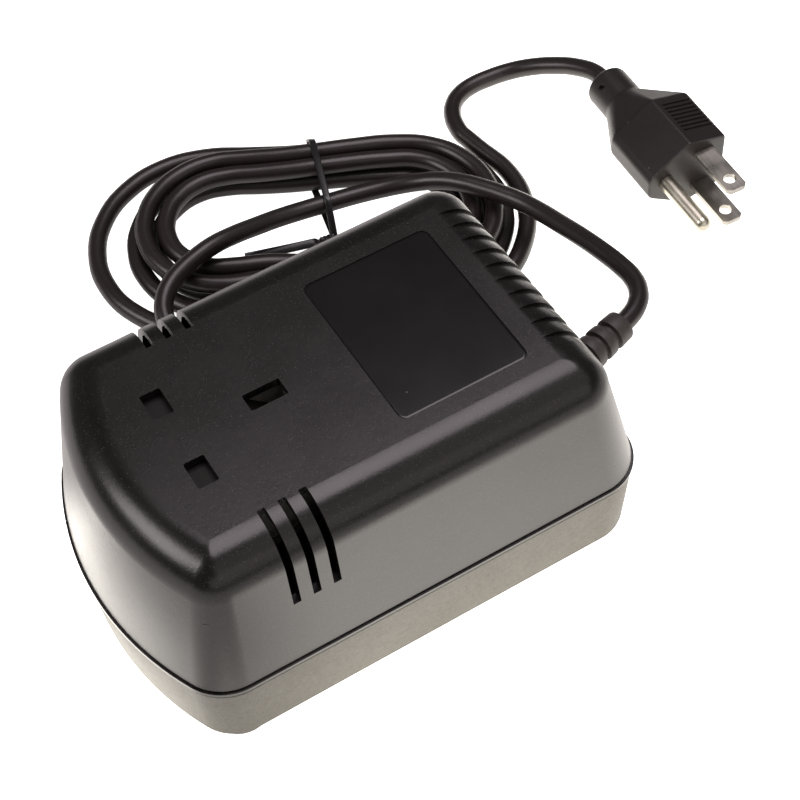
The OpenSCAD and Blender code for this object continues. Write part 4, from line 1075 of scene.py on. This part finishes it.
# floor and light: the floor looks plain white, and lights the walls most from the front and from the left;
# each way, a patch of glow has the places where it starts, is full, eases off and ends
stageSet = {"floorSize": 8, "floorDrop": 0.0006, "paint": (0.8, 0.8, 0.8, 1), "rough": 0.9,
            "base": 0.36, "warm": (1.0, 0.955, 0.87), "seen": 1.2, "sky": 0.12, "skySeen": 1.0,
            "patches": {"front": {"glow": 2.8, "x": (-0.05, -0.01, 0.0, 0.245),
                                  "y": (-0.163, -0.129, -0.045, 0.02)},
                        "left": {"glow": 3.1, "x": (-0.108, -0.085, -0.065, -0.04),
                                 "y": (-0.055, 0.0, 0.035, 0.062)},
                        "foot": {"glow": 2.0, "x": (-0.085, -0.072, -0.05, -0.03),
                                 "y": (-0.045, -0.025, 0.0, 0.03)},
                        "cornerFoot": {"glow": 1.6, "x": (-0.08, -0.06, -0.04, -0.01),
                                       "y": (-0.078, -0.06, -0.046, -0.034)},
                        "plug": {"glow": 1.8, "x": (0.075, 0.10, 0.2, 0.25),
                                 "y": (0.0, 0.04, 0.12, 0.16)}},
            "lamps": {"overhead": {"place": (0.25, 0.145, 0.95), "aim": (0.25, 0.145, 0.0), "size": (0.6, 0.63),
                                   "power": 5.2, "colour": (1.0, 0.895, 0.94)},
                      "left": {"place": (-0.61, 0.19, 0.53), "aim": (-0.06, 0.0, 0.06), "size": (0.4, 0.35),
                               "power": 2.8, "colour": (1.0, 0.92, 0.92)},
                      "frontSky": {"place": (0.3, -0.62, 0.80), "aim": (0.1, 0.0, 0.03), "size": (1.2, 0.62),
                                   "power": 1.2, "colour": (1.0, 0.93, 0.90)},
                      "frontCard": {"place": (0.0, -1.0, 0.45), "aim": (0.0, 0.0, 0.05), "size": (1.6, 0.5),
                                    "power": 1.8, "colour": (1.0, 0.93, 0.88)}}}


def makeStage():
    clearSelection()
    bpy.ops.mesh.primitive_plane_add(size=stageSet["floorSize"], location=(0, 0, -stageSet["floorDrop"]))
    floor = bpy.context.object
    floor.name = "floor"
    material, tree, shader = startMaterial("paleFloor")
    shader.inputs["Base Color"].default_value = stageSet["paint"]
    shader.inputs["Roughness"].default_value = stageSet["rough"]
    place = tree.nodes.new("ShaderNodeTexCoord").outputs["Object"]
    axes = tree.nodes.new("ShaderNodeSeparateXYZ")
    tree.links.new(place, axes.inputs[0])
    glow = stageSet["base"]
    for patch in stageSet["patches"].values():
        share = patch["glow"] - stageSet["base"]
        for axis, (start, full, ease, end) in ((axes.outputs[0], patch["x"]), (axes.outputs[1], patch["y"])):
            share = mathNode(tree, "MULTIPLY", rangeNode(tree, axis, start, full, smooth=True), share)
            share = mathNode(tree, "MULTIPLY", rangeNode(tree, axis, end, ease, smooth=True), share)
        glow = mathNode(tree, "ADD", share, glow)
    seen = tree.nodes.new("ShaderNodeLightPath").outputs["Is Camera Ray"]
    tree.links.new(mixColours(tree, seen, stageSet["warm"], (1.0, 1.0, 1.0)), shader.inputs["Emission Color"])
    shown = mathNode(tree, "MULTIPLY", seen, stageSet["seen"])
    tree.links.new(mathNode(tree, "MAXIMUM", glow, shown), shader.inputs["Emission Strength"])
    floor.data.materials.append(material)
    for name, s in stageSet["lamps"].items():
        light = bpy.data.lights.new(name, "AREA")
        light.shape = "RECTANGLE"
        light.size, light.size_y = s["size"]
        light.energy = s["power"]
        light.color = s["colour"]
        lamp = bpy.data.objects.new(name, light)
        bpy.context.collection.objects.link(lamp)
        lamp.location = s["place"]
        lamp.visible_camera = False
        lamp.rotation_euler = (Vector(s["aim"]) - Vector(s["place"])).to_track_quat("-Z", "Y").to_euler()
    world = bpy.data.worlds.new("studio")
    world.use_nodes = True
    tree = world.node_tree
    background = next(n for n in tree.nodes if n.type == "BACKGROUND")
    background.inputs["Color"].default_value = (1, 1, 1, 1)
    seen = tree.nodes.new("ShaderNodeLightPath").outputs["Is Camera Ray"]
    strength = rangeNode(tree, seen, 0, 1, stageSet["sky"], stageSet["skySeen"])
    tree.links.new(strength, background.inputs["Strength"])
    bpy.context.scene.world = world
    bpy.context.scene.view_settings.view_transform = "Standard"


makeStage()
print("stage lit")
